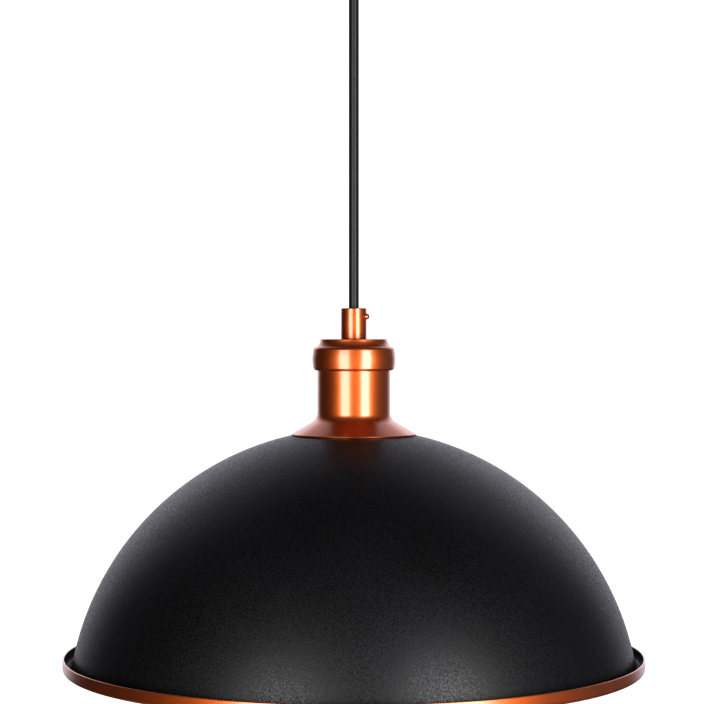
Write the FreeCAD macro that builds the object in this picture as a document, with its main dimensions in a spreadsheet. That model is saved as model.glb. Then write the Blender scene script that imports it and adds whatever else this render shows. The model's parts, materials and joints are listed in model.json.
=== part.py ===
"""Pendant ceiling light: a metal dome shade with a curled rim, hung from a ceiling canopy.

Millimetres, +Z up. The origin is the middle of the ceiling bracket's top face, where the light
meets the ceiling, and the light's front looks along -Y. Every piece is a solid of its own, and
they hang in this order: bracket and canopy, upper cord grip, cord, lower cord grip, holder cap
and neck, lampholder, shade and bulb.
"""
import FreeCAD, Part
import math
import os

import Sketcher

# ------------------------------------------------------------------ driving sizes
# Lengths are millimetres and angles are degrees. Each is one cell of the sheet.
SIZES = {
    # ceiling bracket: a strap across the ceiling with an ear bent down at each end
    "bracket_long": 96.0,
    "bracket_wide": 16.0,
    "bracket_sheet": 1.5,
    "ear_drop": 14.0,
    "slot_gap": 60.0,
    "slot_wide": 4.5,
    "slot_long": 12.0,
    # canopy: the cup that hides the wiring
    "canopy_rad": 50.0,
    "canopy_deep": 35.0,
    "canopy_sheet": 1.0,
    "canopy_bend": 5.0,
    "side_screw_drop": 9.0,
    "side_screw_reach": 6.0,
    # hollow threaded nipples with their nuts and washers, one set at each end of the cord
    "nipple_rad": 5.0,
    "nipple_bore": 3.6,
    "nipple_into_grip": 8.5,
    "washer_rad": 8.2,
    "washer_thick": 0.8,
    "nut_flats": 14.0,
    "nut_thick": 3.0,
    "nipple_past_nut": 1.5,
    # cord and cord grips
    "cord_rad": 2.75,
    "cord_free": 200.0,
    "cord_swing": 25.0,
    "lamp_tilt": 15.0,
    "grip_rad": 7.1,
    "grip_tall": 17.0,
    "grip_thread_deep": 9.0,
    "grip_edge": 0.35,
    "grip_screw_from_mouth": 4.6,
    "grip_screw_turn": -20.0,
    "grip_screw_bite": 0.3,
    "core_rad": 1.05,
    "core_ring": 1.25,
    "core_straight": 4.0,
    "core_lean": 7.5,
    "core_loop": 6.5,
    "core_into_barrel": 7.0,
    "core_spread": 1.5,
    "core_hang": 2.5,
    "sheath_past_nipple": 1.5,
    # terminal block under the bracket
    "block_long": 30.0,
    "block_wide": 15.0,
    "block_tall": 12.0,
    "block_pitch": 10.0,
    "barrel_rad": 2.6,
    "barrel_bore": 1.6,
    "barrel_drop": 6.0,
    # screws: shank radius and head radius of each size
    "big_shank": 1.45,
    "big_head": 3.2,
    "small_shank": 1.2,
    "small_head": 1.65,
    "head_tall": 2.0,
    "head_flank": 0.8,
    # holder cap, from its flat top down
    "cap_sheet": 0.9,
    "cap_top_in": 1.7,
    "cap_cove_deep": 4.0,
    "cap_cove_bend": 8.0,
    "ring_proud": 2.4,
    "ring_belly": 0.45,
    "ring_foot": 1.8,
    "cap_deep": 17.4,
    # neck shell with its trumpet flare
    "neck_rad": 20.2,
    "neck_sheet": 0.8,
    "neck_straight": 35.7,
    "flare_bend": 6.0,
    "flare_slope": 30.0,
    "flare_rad": 34.65,
    # bridge that hangs the lampholder from the nipple
    "bridge_wide": 12.0,
    "bridge_sheet": 1.2,
    "bridge_foot": 8.5,
    "bridge_screw_in": 4.5,
    "bridge_screw_long": 9.6,
    "tag_thick": 0.6,
    "tag_wide": 4.0,
    "tag_reach": 15.0,
    "tag_turn": 225.0,
    # lampholder for an E27 bulb
    "socket_deep": 20.0,
    "socket_tall": 46.0,
    "socket_bore_deep": 27.0,
    "socket_thread_tall": 20.0,
    "shell_rad": 13.75,
    "shell_sheet": 0.5,
    "shell_tall": 23.5,
    "shell_floor_gap": 2.0,
    "contact_rad": 3.0,
    "contact_tall": 2.5,
    "rivet_rad": 1.3,
    "strap_thick": 0.8,
    "strap_gap": 2.6,
    "terminal_at": 10.0,
    "terminal_wide": 7.0,
    "terminal_deep": 6.0,
    "terminal_tall": 7.0,
    # shade ring
    "shade_ring_rad": 28.0,
    "shade_ring_rim": 3.0,
    "shade_ring_hub": 3.6,
    "shade_ring_tall": 9.0,
    # shade: a spherical dome whose rim curls out into a gutter and up into a lip
    "shade_rad": 160.0,
    "shade_sheet": 1.0,
    "lip_tall": 7.2,
    "gutter_flat": 1.0,
    "gutter_bend": 1.5,
    "dome_centre_drop": 32.9,
    # bulb: E27 cap and a 60 mm glass
    "bulb_rad": 30.0,
    "bulb_long": 106.0,
    "bulb_cone": 21.2,
    "bulb_wall": 0.8,
    "bulb_cap_tall": 20.0,
    "bulb_cap_sheet": 0.4,
    "bulb_cap_shoulder": 2.0,
    "bulb_crown_rad": 10.5,
    "bulb_crown_flange": 3.0,
    "bulb_button_rad": 4.5,
    "bulb_button_tall": 1.5,
    "bulb_button_edge": 0.6,
    "bulb_insulator_rad": 5.5,
    "bulb_insulator_tall": 3.5,
    "bulb_neck_in_cap": 3.0,
    "stem_drop": 1.0,
    "stem_flare": 14.0,
    "stem_post": 12.0,
    "stem_post_rad": 1.5,
    "stem_press": 6.0,
    "stem_press_rad": 3.5,
    "stem_taper": 2.0,
    "filament_rad": 0.9,
    "filament_long": 36.0,
    "filament_ring": 9.0,
    "filament_drop": 4.0,
    "lead_rise": 12.0,
    "wire_rad": 0.35,
    # clearances
    "thread_clear": 0.05,
    "slip_clear": 0.1,
    "hole_clear": 0.3,
    "swing_clear": 0.25,
    "bulb_clear": 0.15,
    "bridge_clear": 0.5,
    "cord_end_gap": 0.3,
}

doc = FreeCAD.newDocument("pendant_light")
sheet = doc.addObject("Spreadsheet::Sheet", "Sizes")
for row, (alias, number) in enumerate(SIZES.items(), start=1):
    sheet.set(f"A{row}", alias)
    sheet.set(f"B{row}", str(number))
    sheet.setAlias(f"B{row}", alias)
doc.recompute()

PIECES = []


# ------------------------------------------------------------------ sizes that can be added up
class Size:
    """A number together with the sheet expression that gives it."""

    def __init__(self, value, text):
        self.value = float(value)
        self.text = text

    def __add__(self, other):
        other = as_size(other)
        return Size(self.value + other.value, f"({self.text} + {other.text})")

    def __radd__(self, other):
        return as_size(other) + self

    def __sub__(self, other):
        other = as_size(other)
        return Size(self.value - other.value, f"({self.text} - {other.text})")

    def __rsub__(self, other):
        return as_size(other) - self

    def __mul__(self, other):
        other = as_size(other)
        return Size(self.value * other.value, f"({self.text} * {other.text})")

    def __rmul__(self, other):
        return as_size(other) * self

    def __truediv__(self, other):
        other = as_size(other)
        return Size(self.value / other.value, f"({self.text} / {other.text})")

    def __neg__(self):
        return as_size(0) - self


def as_size(number):
    """A plain number as a Size, and a Size as it is."""
    if isinstance(number, Size):
        return number
    return Size(number, f"({float(number)!r})")


def root(size):
    """The square root of a Size."""
    return Size(math.sqrt(size.value), f"sqrt({size.text})")


def cosine(angle):
    """The cosine of an angle in degrees."""
    return Size(math.cos(math.radians(angle.value)), f"cos({angle.text} * 1 deg)")


def sine(angle):
    """The sine of an angle in degrees."""
    return Size(math.sin(math.radians(angle.value)), f"sin({angle.text} * 1 deg)")


class Sheet:
    """The sheet's cells as Sizes: dim.cord_rad is the cell named cord_rad."""

    def __getattr__(self, alias):
        return Size(sheet.get(alias), f"Sizes.{alias}")


dim = Sheet()


# ------------------------------------------------------------------ ways of making a piece
def bind(thing, path, size):
    """Tie one property to the sheet."""
    thing.setExpression(path, as_size(size).text)


def put(thing, at=(0, 0, 0), turn=None):
    """Place a piece, with its position tied to the sheet."""
    corner = [as_size(number) for number in at]
    spot = FreeCAD.Vector(*[size.value for size in corner])
    thing.Placement = FreeCAD.Placement(spot, turn or FreeCAD.Rotation())
    for name, size in zip("xyz", corner):
        bind(thing, f".Placement.Base.{name}", size)


def outwards(turn):
    """The rotation that points a piece's own +Z away from the axis, at an angle from +X."""
    about_z = FreeCAD.Rotation(FreeCAD.Vector(0, 0, 1), turn)
    return about_z * FreeCAD.Rotation(FreeCAD.Vector(0, 1, 0), 90)


UPSIDE_DOWN = FreeCAD.Rotation(FreeCAD.Vector(1, 0, 0), 180)
ALONG_Y = FreeCAD.Rotation(FreeCAD.Vector(1, 0, 0), 90)


def arc_edge(start, end, radius, way):
    """The short arc from start to end, anticlockwise when way is 1 and clockwise when it is -1."""
    chord = end - start
    half = chord.Length / 2
    reach = math.sqrt(max(radius * radius - half * half, 0.0))
    left = FreeCAD.Vector(-chord.y, chord.x, 0).normalize()
    centre = (start + end) / 2 + left * reach * way
    first, last = (start, end) if way > 0 else (end, start)
    from_angle = math.atan2(first.y - centre.y, first.x - centre.x)
    to_angle = math.atan2(last.y - centre.y, last.x - centre.x)
    if to_angle < from_angle:
        to_angle += 2 * math.pi
    circle = Part.Circle(centre, FreeCAD.Vector(0, 0, 1), radius)
    return Part.ArcOfCircle(circle, from_angle, to_angle)


def draw(sketch, outline):
    """Close an outline of straight and arc edges, each corner tied to the sheet.

    A corner is (across, up), reached by a straight edge from the corner before it, or
    (across, up, radius, way), reached by an arc.
    """
    corners = [(as_size(corner[0]), as_size(corner[1])) for corner in outline]
    spots = [FreeCAD.Vector(across.value, up.value, 0) for across, up in corners]
    edges = []
    ends = []
    for index, corner in enumerate(outline):
        if len(corner) == 2:
            edges.append(Part.LineSegment(spots[index - 1], spots[index]))
            ends.append((1, 2))
        else:
            edges.append(arc_edge(spots[index - 1], spots[index], as_size(corner[2]).value, corner[3]))
            ends.append((1, 2) if corner[3] > 0 else (2, 1))
    sketch.addGeometry(edges, False)
    for index, (across, up) in enumerate(corners):
        following = (index + 1) % len(corners)
        finish = ends[index][1]
        sketch.addConstraint(Sketcher.Constraint("Coincident", index, finish, following, ends[following][0]))
        for kind, size, axis in (("DistanceX", across, -2), ("DistanceY", up, -1)):
            if abs(size.value) < 1e-9:
                sketch.addConstraint(Sketcher.Constraint("PointOnObject", index, finish, axis))
            else:
                rule = Sketcher.Constraint(kind, -1, 1, index, finish, size.value)
                bind(sketch, f"Constraints[{sketch.addConstraint(rule)}]", size)
        if len(outline[index]) == 4:
            rule = Sketcher.Constraint("Radius", index, as_size(outline[index][2]).value)
            bind(sketch, f"Constraints[{sketch.addConstraint(rule)}]", outline[index][2])


def sketch_on(body, role, name):
    """An empty sketch on one of the body's own origin planes."""
    sketch = body.newObject("Sketcher::SketchObject", name)
    plane = next(item for item in body.Origin.OriginFeatures if item.Role == role)
    sketch.AttachmentSupport = (plane, [""])
    sketch.MapMode = "FlatFace"
    return sketch


def turned(label, outline, at=(0, 0, 0), turn=None):
    """A piece turned about its own +Z from half of its section, as (radius, height) corners."""
    body = doc.addObject("PartDesign::Body", label)
    sketch = sketch_on(body, "XZ_Plane", label + "_section")
    draw(sketch, outline)
    feature = body.newObject("PartDesign::Revolution", label + "_turned")
    feature.Profile = sketch
    feature.ReferenceAxis = (sketch, ["V_Axis"])
    feature.Angle = 360
    body.Tip = feature
    put(body, at, turn)
    return body


def tube(label, bore, outside, bottom, top):
    """A plain ring or tube between two heights."""
    outline = [(bore, 0), (outside, 0), (outside, top - bottom), (bore, top - bottom)]
    return turned(label, outline, (0, 0, bottom))


def primitive(kind, label, at=(0, 0, 0), turn=None, **sizes):
    """One of Part's own solids, its sizes and place tied to the sheet."""
    thing = doc.addObject("Part::" + kind, label)
    for name, size in sizes.items():
        bind(thing, name, size)
    put(thing, at, turn)
    return thing


def block(label, low, high):
    """A box between two opposite corners."""
    low = [as_size(number) for number in low]
    high = [as_size(number) for number in high]
    long, wide, tall = (top - bottom for bottom, top in zip(low, high))
    return primitive("Box", label, low, None, Length=long, Width=wide, Height=tall)


def rod(label, radius, long, at=(0, 0, 0), turn=None):
    """A plain cylinder from a point, along +Z or as turned."""
    return primitive("Cylinder", label, at, turn, Radius=radius, Height=long)


def cut(label, base, tools):
    """The base with every tool taken away."""
    for number, tool in enumerate(tools, start=1):
        result = doc.addObject("Part::Cut", f"{label}_cut_{number}")
        result.Base = base
        result.Tool = tool
        base = result
    base.Label = label
    return base


def joined(label, parts, kind="MultiFuse"):
    """Several shapes as one solid, or with kind Compound as a group of separate solids."""
    result = doc.addObject("Part::" + kind, label)
    if kind == "Compound":
        result.Links = parts
    else:
        result.Shapes = parts
    return result


def round_screw(label, shank, head, tip, seat, at=(0, 0, 0), turn=None):
    """A round-headed screw along its own +Z, from its tip to the seat of its head and beyond."""
    flank = dim.head_flank
    crown = dim.head_tall - flank
    dome = (head * head + crown * crown) / (2 * crown)
    outline = [
        (0, tip),
        (shank, tip),
        (shank, seat),
        (head, seat),
        (head, seat + flank),
        (0, seat + dim.head_tall, dome, 1),
    ]
    return turned(label, outline, at, turn)


def hex_nut(label, bottom, top):
    """A hexagon nut on a nipple."""
    corner = dim.nut_flats / root(as_size(3))
    prism = doc.addObject("Part::Prism", label + "_blank")
    prism.Polygon = 6
    bind(prism, "Circumradius", corner)
    bind(prism, "Height", top - bottom)
    put(prism, (0, 0, bottom))
    bore = rod(label + "_bore", dim.nipple_rad + dim.thread_clear, top - bottom, (0, 0, bottom))
    return cut(label, prism, [bore])


def routed(label, points, radius):
    """An insulated core along straight runs joined by arcs as large as the runs allow."""
    spots = [FreeCAD.Vector(*[as_size(number).value for number in point]) for point in points]
    edges = []
    start = spots[0]
    bends = []
    for before, corner, after in zip(spots, spots[1:], spots[2:]):
        back = (before - corner).normalize()
        ahead = (after - corner).normalize()
        reach = 0.45 * min((before - corner).Length, (after - corner).Length)
        half_turn = (math.pi - back.getAngle(ahead)) / 2
        enter = corner + back * reach
        leave = corner + ahead * reach
        bend = reach / math.tan(half_turn)
        middle_way = (back + ahead).normalize()
        centre = corner + middle_way * (reach / math.sin(half_turn))
        bends.append(bend)
        edges.append(Part.LineSegment(start, enter).toShape())
        edges.append(Part.Arc(enter, centre - middle_way * bend, leave).toShape())
        start = leave
    edges.append(Part.LineSegment(start, spots[-1]).toShape())
    path = Part.Wire(edges)
    section = Part.Wire(Part.Circle(spots[0], spots[1] - spots[0], radius.value).toShape())
    core = doc.addObject("Part::Feature", label)
    core.Shape = path.makePipeShell([section], True, False)
    core.Placement = FreeCAD.Placement()
    whole = math.pi * radius.value ** 2 * path.Length
    radii = ", ".join(f"{bend:.1f}" for bend in bends)
    print(f"{label}: {path.Length:.1f} mm, bends {radii} mm, volume {core.Shape.Volume / whole:.3f}")
    return core


def keep(*pieces):
    """Count these as finished pieces of the light."""
    PIECES.extend(pieces)


# ------------------------------------------------------------------ levels, from the ceiling down
canopy_floor = -dim.canopy_deep
top_mouth = canopy_floor - dim.grip_tall
low_mouth = top_mouth - dim.cord_free
cap_top = low_mouth - dim.grip_tall
mouth_bore = dim.cord_rad / cosine(dim.cord_swing) + dim.swing_clear
nipple_hole = dim.nipple_rad + dim.slip_clear


# ------------------------------------------------------------------ ceiling bracket and canopy
def ceiling_bracket():
    """The strap that is screwed to the ceiling, with two slots and a threaded ear at each end."""
    half_long = dim.bracket_long / 2
    half_wide = dim.bracket_wide / 2
    thick = dim.bracket_sheet
    strap = block("bracket_strap", (-half_long, -half_wide, -thick), (half_long, half_wide, 0))
    ear_low = -dim.ear_drop
    left_ear = block("bracket_left_ear", (-half_long, -half_wide, ear_low), (thick - half_long, half_wide, 0))
    right_ear = block("bracket_right_ear", (half_long - thick, -half_wide, ear_low), (half_long, half_wide, 0))
    blank = joined("bracket_blank", [strap, left_ear, right_ear])
    slot_half = dim.slot_wide / 2
    slot_reach = (dim.slot_long - dim.slot_wide) / 2
    tools = []
    for name, side in (("left", -1), ("right", 1)):
        middle = dim.slot_gap / 2 * side
        low = (middle - slot_reach, -slot_half, -thick)
        tools.append(block(f"slot_{name}_middle", low, (middle + slot_reach, slot_half, 0)))
        for end, way in (("inner", -1), ("outer", 1)):
            at = (middle + slot_reach * way, 0, -thick)
            tools.append(rod(f"slot_{name}_{end}", slot_half, thick, at))
        at = (dim.block_pitch / 2 * side, 0, -thick)
        tools.append(rod(f"block_hole_{name}", dim.small_shank + dim.thread_clear, thick, at))
    ear_bore = dim.big_shank + dim.thread_clear
    at = (-half_long, 0, -dim.side_screw_drop)
    tools.append(rod("ear_holes", ear_bore, dim.bracket_long, at, outwards(0)))
    keep(cut("ceiling_bracket", blank, tools))


def canopy():
    """The cup over the bracket: rounded lower edge, a hole for the nipple, two side holes."""
    rad = dim.canopy_rad
    thick = dim.canopy_sheet
    bend = dim.canopy_bend
    outline = [
        (nipple_hole, 0),
        (rad - bend, 0),
        (rad, bend, bend, 1),
        (rad, dim.canopy_deep),
        (rad - thick, dim.canopy_deep),
        (rad - thick, bend),
        (rad - bend, thick, bend - thick, -1),
        (nipple_hole, thick),
    ]
    cup = turned("canopy_cup", outline, (0, 0, canopy_floor))
    at = (-rad, 0, -dim.side_screw_drop)
    holes = rod("canopy_side_holes", dim.big_shank + dim.hole_clear, rad * 2, at, outwards(0))
    keep(cut("canopy", cup, [holes]))
    screws = []
    for name, turn in (("left", 180), ("right", 0)):
        at = (0, 0, -dim.side_screw_drop)
        tip = rad - dim.side_screw_reach
        size = (dim.big_shank, dim.big_head, tip, rad)
        screws.append(round_screw(f"canopy_screw_{name}", *size, at, outwards(turn)))
    keep(joined("canopy_side_screws", screws, "Compound"))


def canopy_fixings():
    """The nipple through the canopy's floor, with its lock washer and nut inside."""
    inside = canopy_floor + dim.canopy_sheet
    washer_top = inside + dim.washer_thick
    nut_top = washer_top + dim.nut_thick
    keep(
        tube("canopy_washer", nipple_hole, dim.washer_rad, inside, washer_top),
        hex_nut("canopy_nut", washer_top, nut_top),
        tube("canopy_nipple", dim.nipple_bore, dim.nipple_rad,
             canopy_floor - dim.nipple_into_grip, nut_top + dim.nipple_past_nut),
    )
    return nut_top + dim.nipple_past_nut


# ------------------------------------------------------------------ terminal block in the canopy
def terminal_block():
    """Three ways side by side, each a brass barrel with two clamp screws, under the bracket."""
    top = -dim.bracket_sheet
    low = top - dim.block_tall
    half_wide = dim.block_wide / 2
    half_long = dim.block_long / 2
    axis = top - dim.barrel_drop
    body = block("block_body", (-half_long, -half_wide, low), (half_long, half_wide, top))
    tools = []
    barrels = []
    clamps = []
    for name, way in (("live", -1), ("earth", 0), ("neutral", 1)):
        across = dim.block_pitch * way
        front = (across, half_wide, axis)
        hole = rod(f"block_bore_{name}", dim.barrel_rad + dim.thread_clear, dim.block_wide, front, ALONG_Y)
        tools.append(hole)
        outside = rod(f"barrel_{name}_outside", dim.barrel_rad, dim.block_wide, front, ALONG_Y)
        inside = rod(f"barrel_{name}_inside", dim.barrel_bore, dim.block_wide, front, ALONG_Y)
        threads = []
        for end, side in (("front", -1), ("back", 1)):
            along = dim.block_wide / 4 * side
            well = rod(f"well_{name}_{end}", dim.small_shank + dim.slip_clear, axis - low, (across, along, low))
            thread = rod(f"thread_{name}_{end}", dim.small_shank + dim.thread_clear, axis - low,
                         (across, along, low))
            tools.append(well)
            threads.append(thread)
            tip = axis - dim.core_rad
            clamps.append(rod(f"clamp_{name}_{end}", dim.small_shank, tip - low, (across, along, low)))
        barrels.append(cut(f"barrel_{name}", outside, [inside] + threads))
    fixings = []
    for name, side in (("left", -1), ("right", 1)):
        across = dim.block_pitch / 2 * side
        tools.append(rod(f"block_fixing_{name}", dim.small_shank + dim.thread_clear, dim.block_tall,
                         (across, 0, low)))
        size = (dim.small_shank, dim.small_head, 0, dim.block_tall + dim.bracket_sheet)
        fixings.append(round_screw(f"fixing_{name}", *size, (across, 0, 0), UPSIDE_DOWN))
    keep(
        cut("terminal_block", body, tools),
        joined("terminal_barrels", barrels, "Compound"),
        joined("terminal_clamp_screws", clamps, "Compound"),
        joined("terminal_fixing_screws", fixings, "Compound"),
    )
    return axis


# ------------------------------------------------------------------ cord grips and cord
def cord_grip(name, mouth, turn):
    """A turned grip with the cord's mouth at one end and a thread for the nipple at the other.

    Its own +Z points out of the mouth. A round-headed screw in its side bites into the cord.
    """
    tall = dim.grip_tall
    edge = dim.grip_edge
    thread = dim.nipple_rad + dim.thread_clear
    outline = [
        (thread, 0),
        (dim.grip_rad - edge, 0),
        (dim.grip_rad, edge, edge, 1),
        (dim.grip_rad, tall - edge),
        (dim.grip_rad - edge, tall, edge, 1),
        (mouth_bore, tall),
        (mouth_bore, dim.grip_thread_deep),
        (thread, dim.grip_thread_deep),
    ]
    way = 1 if turn is None else -1
    blank = turned(f"{name}_blank", outline, (0, 0, mouth - tall * way), turn)
    level = mouth - dim.grip_screw_from_mouth * way
    aim = outwards(dim.grip_screw_turn.value)
    hole = rod(f"{name}_screw_hole", dim.small_shank + dim.thread_clear, dim.grip_rad * 2, (0, 0, level), aim)
    keep(cut(name, blank, [hole]))
    tip = dim.cord_rad - dim.grip_screw_bite
    size = (dim.small_shank, dim.small_head, tip, dim.grip_rad)
    keep(round_screw(f"{name}_screw", *size, (0, 0, level), aim))


def cord():
    """The free, taut stretch. Each round end is centred on the mouth that it hinges in."""
    rad = dim.cord_rad
    outline = [
        (0, 0),
        (rad, rad, rad, 1),
        (rad, rad + dim.cord_free),
        (0, rad * 2 + dim.cord_free, rad, 1),
    ]
    free = turned("cord", outline, (0, 0, low_mouth - rad))
    keep(free)
    return free


def cord_end(label, low, high):
    """A held end of the cord, from just inside a grip to where its sheath is stripped."""
    keep(rod(label, dim.cord_rad, high - low, (0, 0, low)))


def canopy_wiring(sheath_top, axis):
    """The cord's upper end, and its three cores up to the terminal block."""
    cord_end("cord_end_in_canopy", top_mouth + dim.cord_rad + dim.cord_end_gap, sheath_top)
    front = -dim.block_wide / 2
    ring = dim.core_ring
    for name, way, turn in (("live", -1, 150), ("earth", 0, 270), ("neutral", 1, 30)):
        across = ring * math.cos(math.radians(turn))
        along = ring * math.sin(math.radians(turn))
        end = dim.block_pitch * way
        points = [
            (across, along, sheath_top),
            (across, along, sheath_top + dim.core_straight),
            (end * 0.7, front - dim.core_straight, sheath_top + dim.core_lean),
            (end, front - dim.core_loop, axis - dim.core_spread),
            (end, front - 1, axis),
            (end, front + dim.core_into_barrel, axis),
        ]
        keep(routed(f"canopy_core_{name}", points, dim.core_rad))


# ------------------------------------------------------------------ holder cap and neck
def holder_cap():
    """The cap over the lampholder: flat top, small cove, and a bulged ring that laps the neck."""
    deep = dim.cap_deep
    thick = dim.cap_sheet
    waist = dim.neck_rad
    top_rad = waist - dim.cap_top_in
    ring = waist + dim.ring_proud
    foot = dim.ring_foot
    cove_low = deep - dim.cap_cove_deep
    ring_top = cove_low - dim.ring_proud
    rise = ring_top - foot
    belly = dim.ring_belly
    belly_bend = (rise * rise / 4 + belly * belly) / (2 * belly)
    lap = waist + dim.slip_clear
    edge = dim.grip_edge
    outline = [
        (nipple_hole, deep - thick),
        (top_rad - thick, deep - thick),
        (waist - thick, cove_low),
        (waist - thick, cove_low - thick),
        (waist, cove_low - thick),
        (ring - thick, ring_top, dim.ring_proud - thick, -1),
        (ring - thick, foot),
        (ring - foot, thick, foot - thick, -1),
        (lap, thick),
        (lap, 0),
        (ring - foot, 0),
        (ring, foot, foot, 1),
        (ring, ring_top, belly_bend, 1),
        (waist, cove_low, dim.ring_proud, 1),
        (top_rad, deep - edge, dim.cap_cove_bend, -1),
        (top_rad - edge, deep, edge, 1),
        (nipple_hole, deep),
    ]
    keep(turned("holder_cap", outline, (0, 0, cap_top - deep)))


def neck_shell():
    """The straight neck and its trumpet flare, whose edge stands on the dome."""
    rad = dim.neck_rad
    thick = dim.neck_sheet
    bend = dim.flare_bend
    across = 1 - sine(dim.flare_slope)
    slope = sine(dim.flare_slope) / cosine(dim.flare_slope)
    edge_tall = thick / cosine(dim.flare_slope)
    flare_in = rad + bend * across
    bend_tall = bend * cosine(dim.flare_slope)
    slope_tall = (dim.flare_rad - flare_in) * slope
    straight_low = edge_tall + slope_tall + bend_tall
    top = straight_low + dim.neck_straight
    back = bend + thick
    inner_in = rad + bend - back * sine(dim.flare_slope)
    inner_low = straight_low - back * cosine(dim.flare_slope)
    outline = [
        (rad - thick, straight_low),
        (inner_in, inner_low, back, 1),
        (dim.flare_rad, 0),
        (dim.flare_rad, edge_tall),
        (flare_in, edge_tall + slope_tall),
        (rad, straight_low, bend, -1),
        (rad, top),
        (rad - thick, top),
    ]
    neck_top = cap_top - dim.cap_cove_deep - dim.cap_sheet
    keep(turned("neck_shell", outline, (0, 0, neck_top - top)))
    return neck_top - top


# ------------------------------------------------------------------ lampholder
def lamp_fixings():
    """Bridge, earth tag, lock washer, nut and nipple under the cap's top."""
    inside = cap_top - dim.cap_sheet
    strap_low = inside - dim.bridge_sheet
    tag_low = strap_low - dim.tag_thick
    washer_low = tag_low - dim.washer_thick
    nut_low = washer_low - dim.nut_thick
    nipple_low = nut_low - dim.nipple_past_nut
    ring = tube("earth_tag_ring", nipple_hole, dim.washer_rad, tag_low, strap_low)
    inner = dim.washer_rad - 1
    half = dim.tag_wide / 2
    corner = (
        inner * cosine(dim.tag_turn) + half * sine(dim.tag_turn),
        inner * sine(dim.tag_turn) - half * cosine(dim.tag_turn),
        tag_low,
    )
    aim = FreeCAD.Rotation(FreeCAD.Vector(0, 0, 1), dim.tag_turn.value)
    tail = primitive("Box", "earth_tag_tail", corner, aim,
                     Length=dim.tag_reach - inner, Width=dim.tag_wide, Height=dim.tag_thick)
    keep(
        tube("lamp_washer", nipple_hole, dim.washer_rad, washer_low, tag_low),
        hex_nut("lamp_nut", nut_low, washer_low),
        tube("lamp_nipple", dim.nipple_bore, dim.nipple_rad, nipple_low, cap_top + dim.nipple_into_grip),
        joined("earth_tag", [ring, tail]),
    )
    return strap_low, tag_low, nipple_low


def socket_bridge(strap_low, socket_top):
    """A strap bent down into two legs, with feet screwed to the lampholder."""
    wide = dim.bridge_wide / 2
    thick = dim.bridge_sheet
    corner = dim.neck_rad - dim.cap_top_in - dim.cap_sheet - dim.bridge_clear
    half = root(corner * corner - wide * wide)
    screw_at = half - dim.bridge_screw_in
    foot_top = socket_top + thick
    screw_tip = foot_top - dim.bridge_screw_long
    parts = [block("bridge_strap", (-half, -wide, strap_low), (half, wide, strap_low + thick))]
    tools = [rod("bridge_hole", nipple_hole, thick, (0, 0, strap_low))]
    screws = []
    for name, side in (("left", -1), ("right", 1)):
        outer = half * side
        inner = (half - thick) * side
        toe = (half - dim.bridge_foot) * side
        leg_span = (outer, inner) if side < 0 else (inner, outer)
        foot_span = (outer, toe) if side < 0 else (toe, outer)
        leg_low = (leg_span[0], -wide, socket_top)
        parts.append(block(f"bridge_leg_{name}", leg_low, (leg_span[1], wide, strap_low)))
        foot_low = (foot_span[0], -wide, socket_top)
        parts.append(block(f"bridge_foot_{name}", foot_low, (foot_span[1], wide, foot_top)))
        at = (screw_at * side, 0, socket_top)
        tools.append(rod(f"bridge_foot_hole_{name}", dim.small_shank + dim.hole_clear, thick, at))
        size = (dim.small_shank, dim.small_head + dim.hole_clear, 0, dim.bridge_screw_long)
        at = (screw_at * side, 0, screw_tip)
        screws.append(round_screw(f"bridge_screw_{name}", *size, at))
    keep(cut("socket_bridge", joined("bridge_blank", parts), tools))
    keep(joined("bridge_screws", screws, "Compound"))
    return screw_at, screw_tip


def socket_body(socket_top, screw_at, screw_tip):
    """The porcelain lampholder: threaded outside for the shade ring, bored for the screw shell."""
    low = socket_top - dim.socket_tall
    thread = dim.neck_rad - dim.neck_sheet - dim.slip_clear
    plain = thread - dim.shell_sheet
    bore = dim.shell_rad + dim.slip_clear
    outline = [
        (0, dim.socket_bore_deep),
        (bore, dim.socket_bore_deep),
        (bore, 0),
        (thread, 0),
        (thread, dim.socket_thread_tall),
        (plain, dim.socket_thread_tall),
        (plain, dim.socket_tall),
        (0, dim.socket_tall),
    ]
    blank = turned("socket_blank", outline, (0, 0, low))
    floor = low + dim.socket_bore_deep
    deep = socket_top - floor
    rivet = dim.rivet_rad + dim.thread_clear
    tools = [
        rod("socket_centre_hole", rivet, deep, (0, 0, floor)),
        rod("socket_shell_hole", rivet, deep, (0, -dim.terminal_at, floor)),
    ]
    for name, side in (("left", -1), ("right", 1)):
        at = (screw_at * side, 0, screw_tip)
        tools.append(rod(f"socket_screw_hole_{name}", dim.small_shank + dim.thread_clear,
                         socket_top - screw_tip, at))
    keep(cut("socket_body", blank, tools))
    return floor, thread


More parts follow.
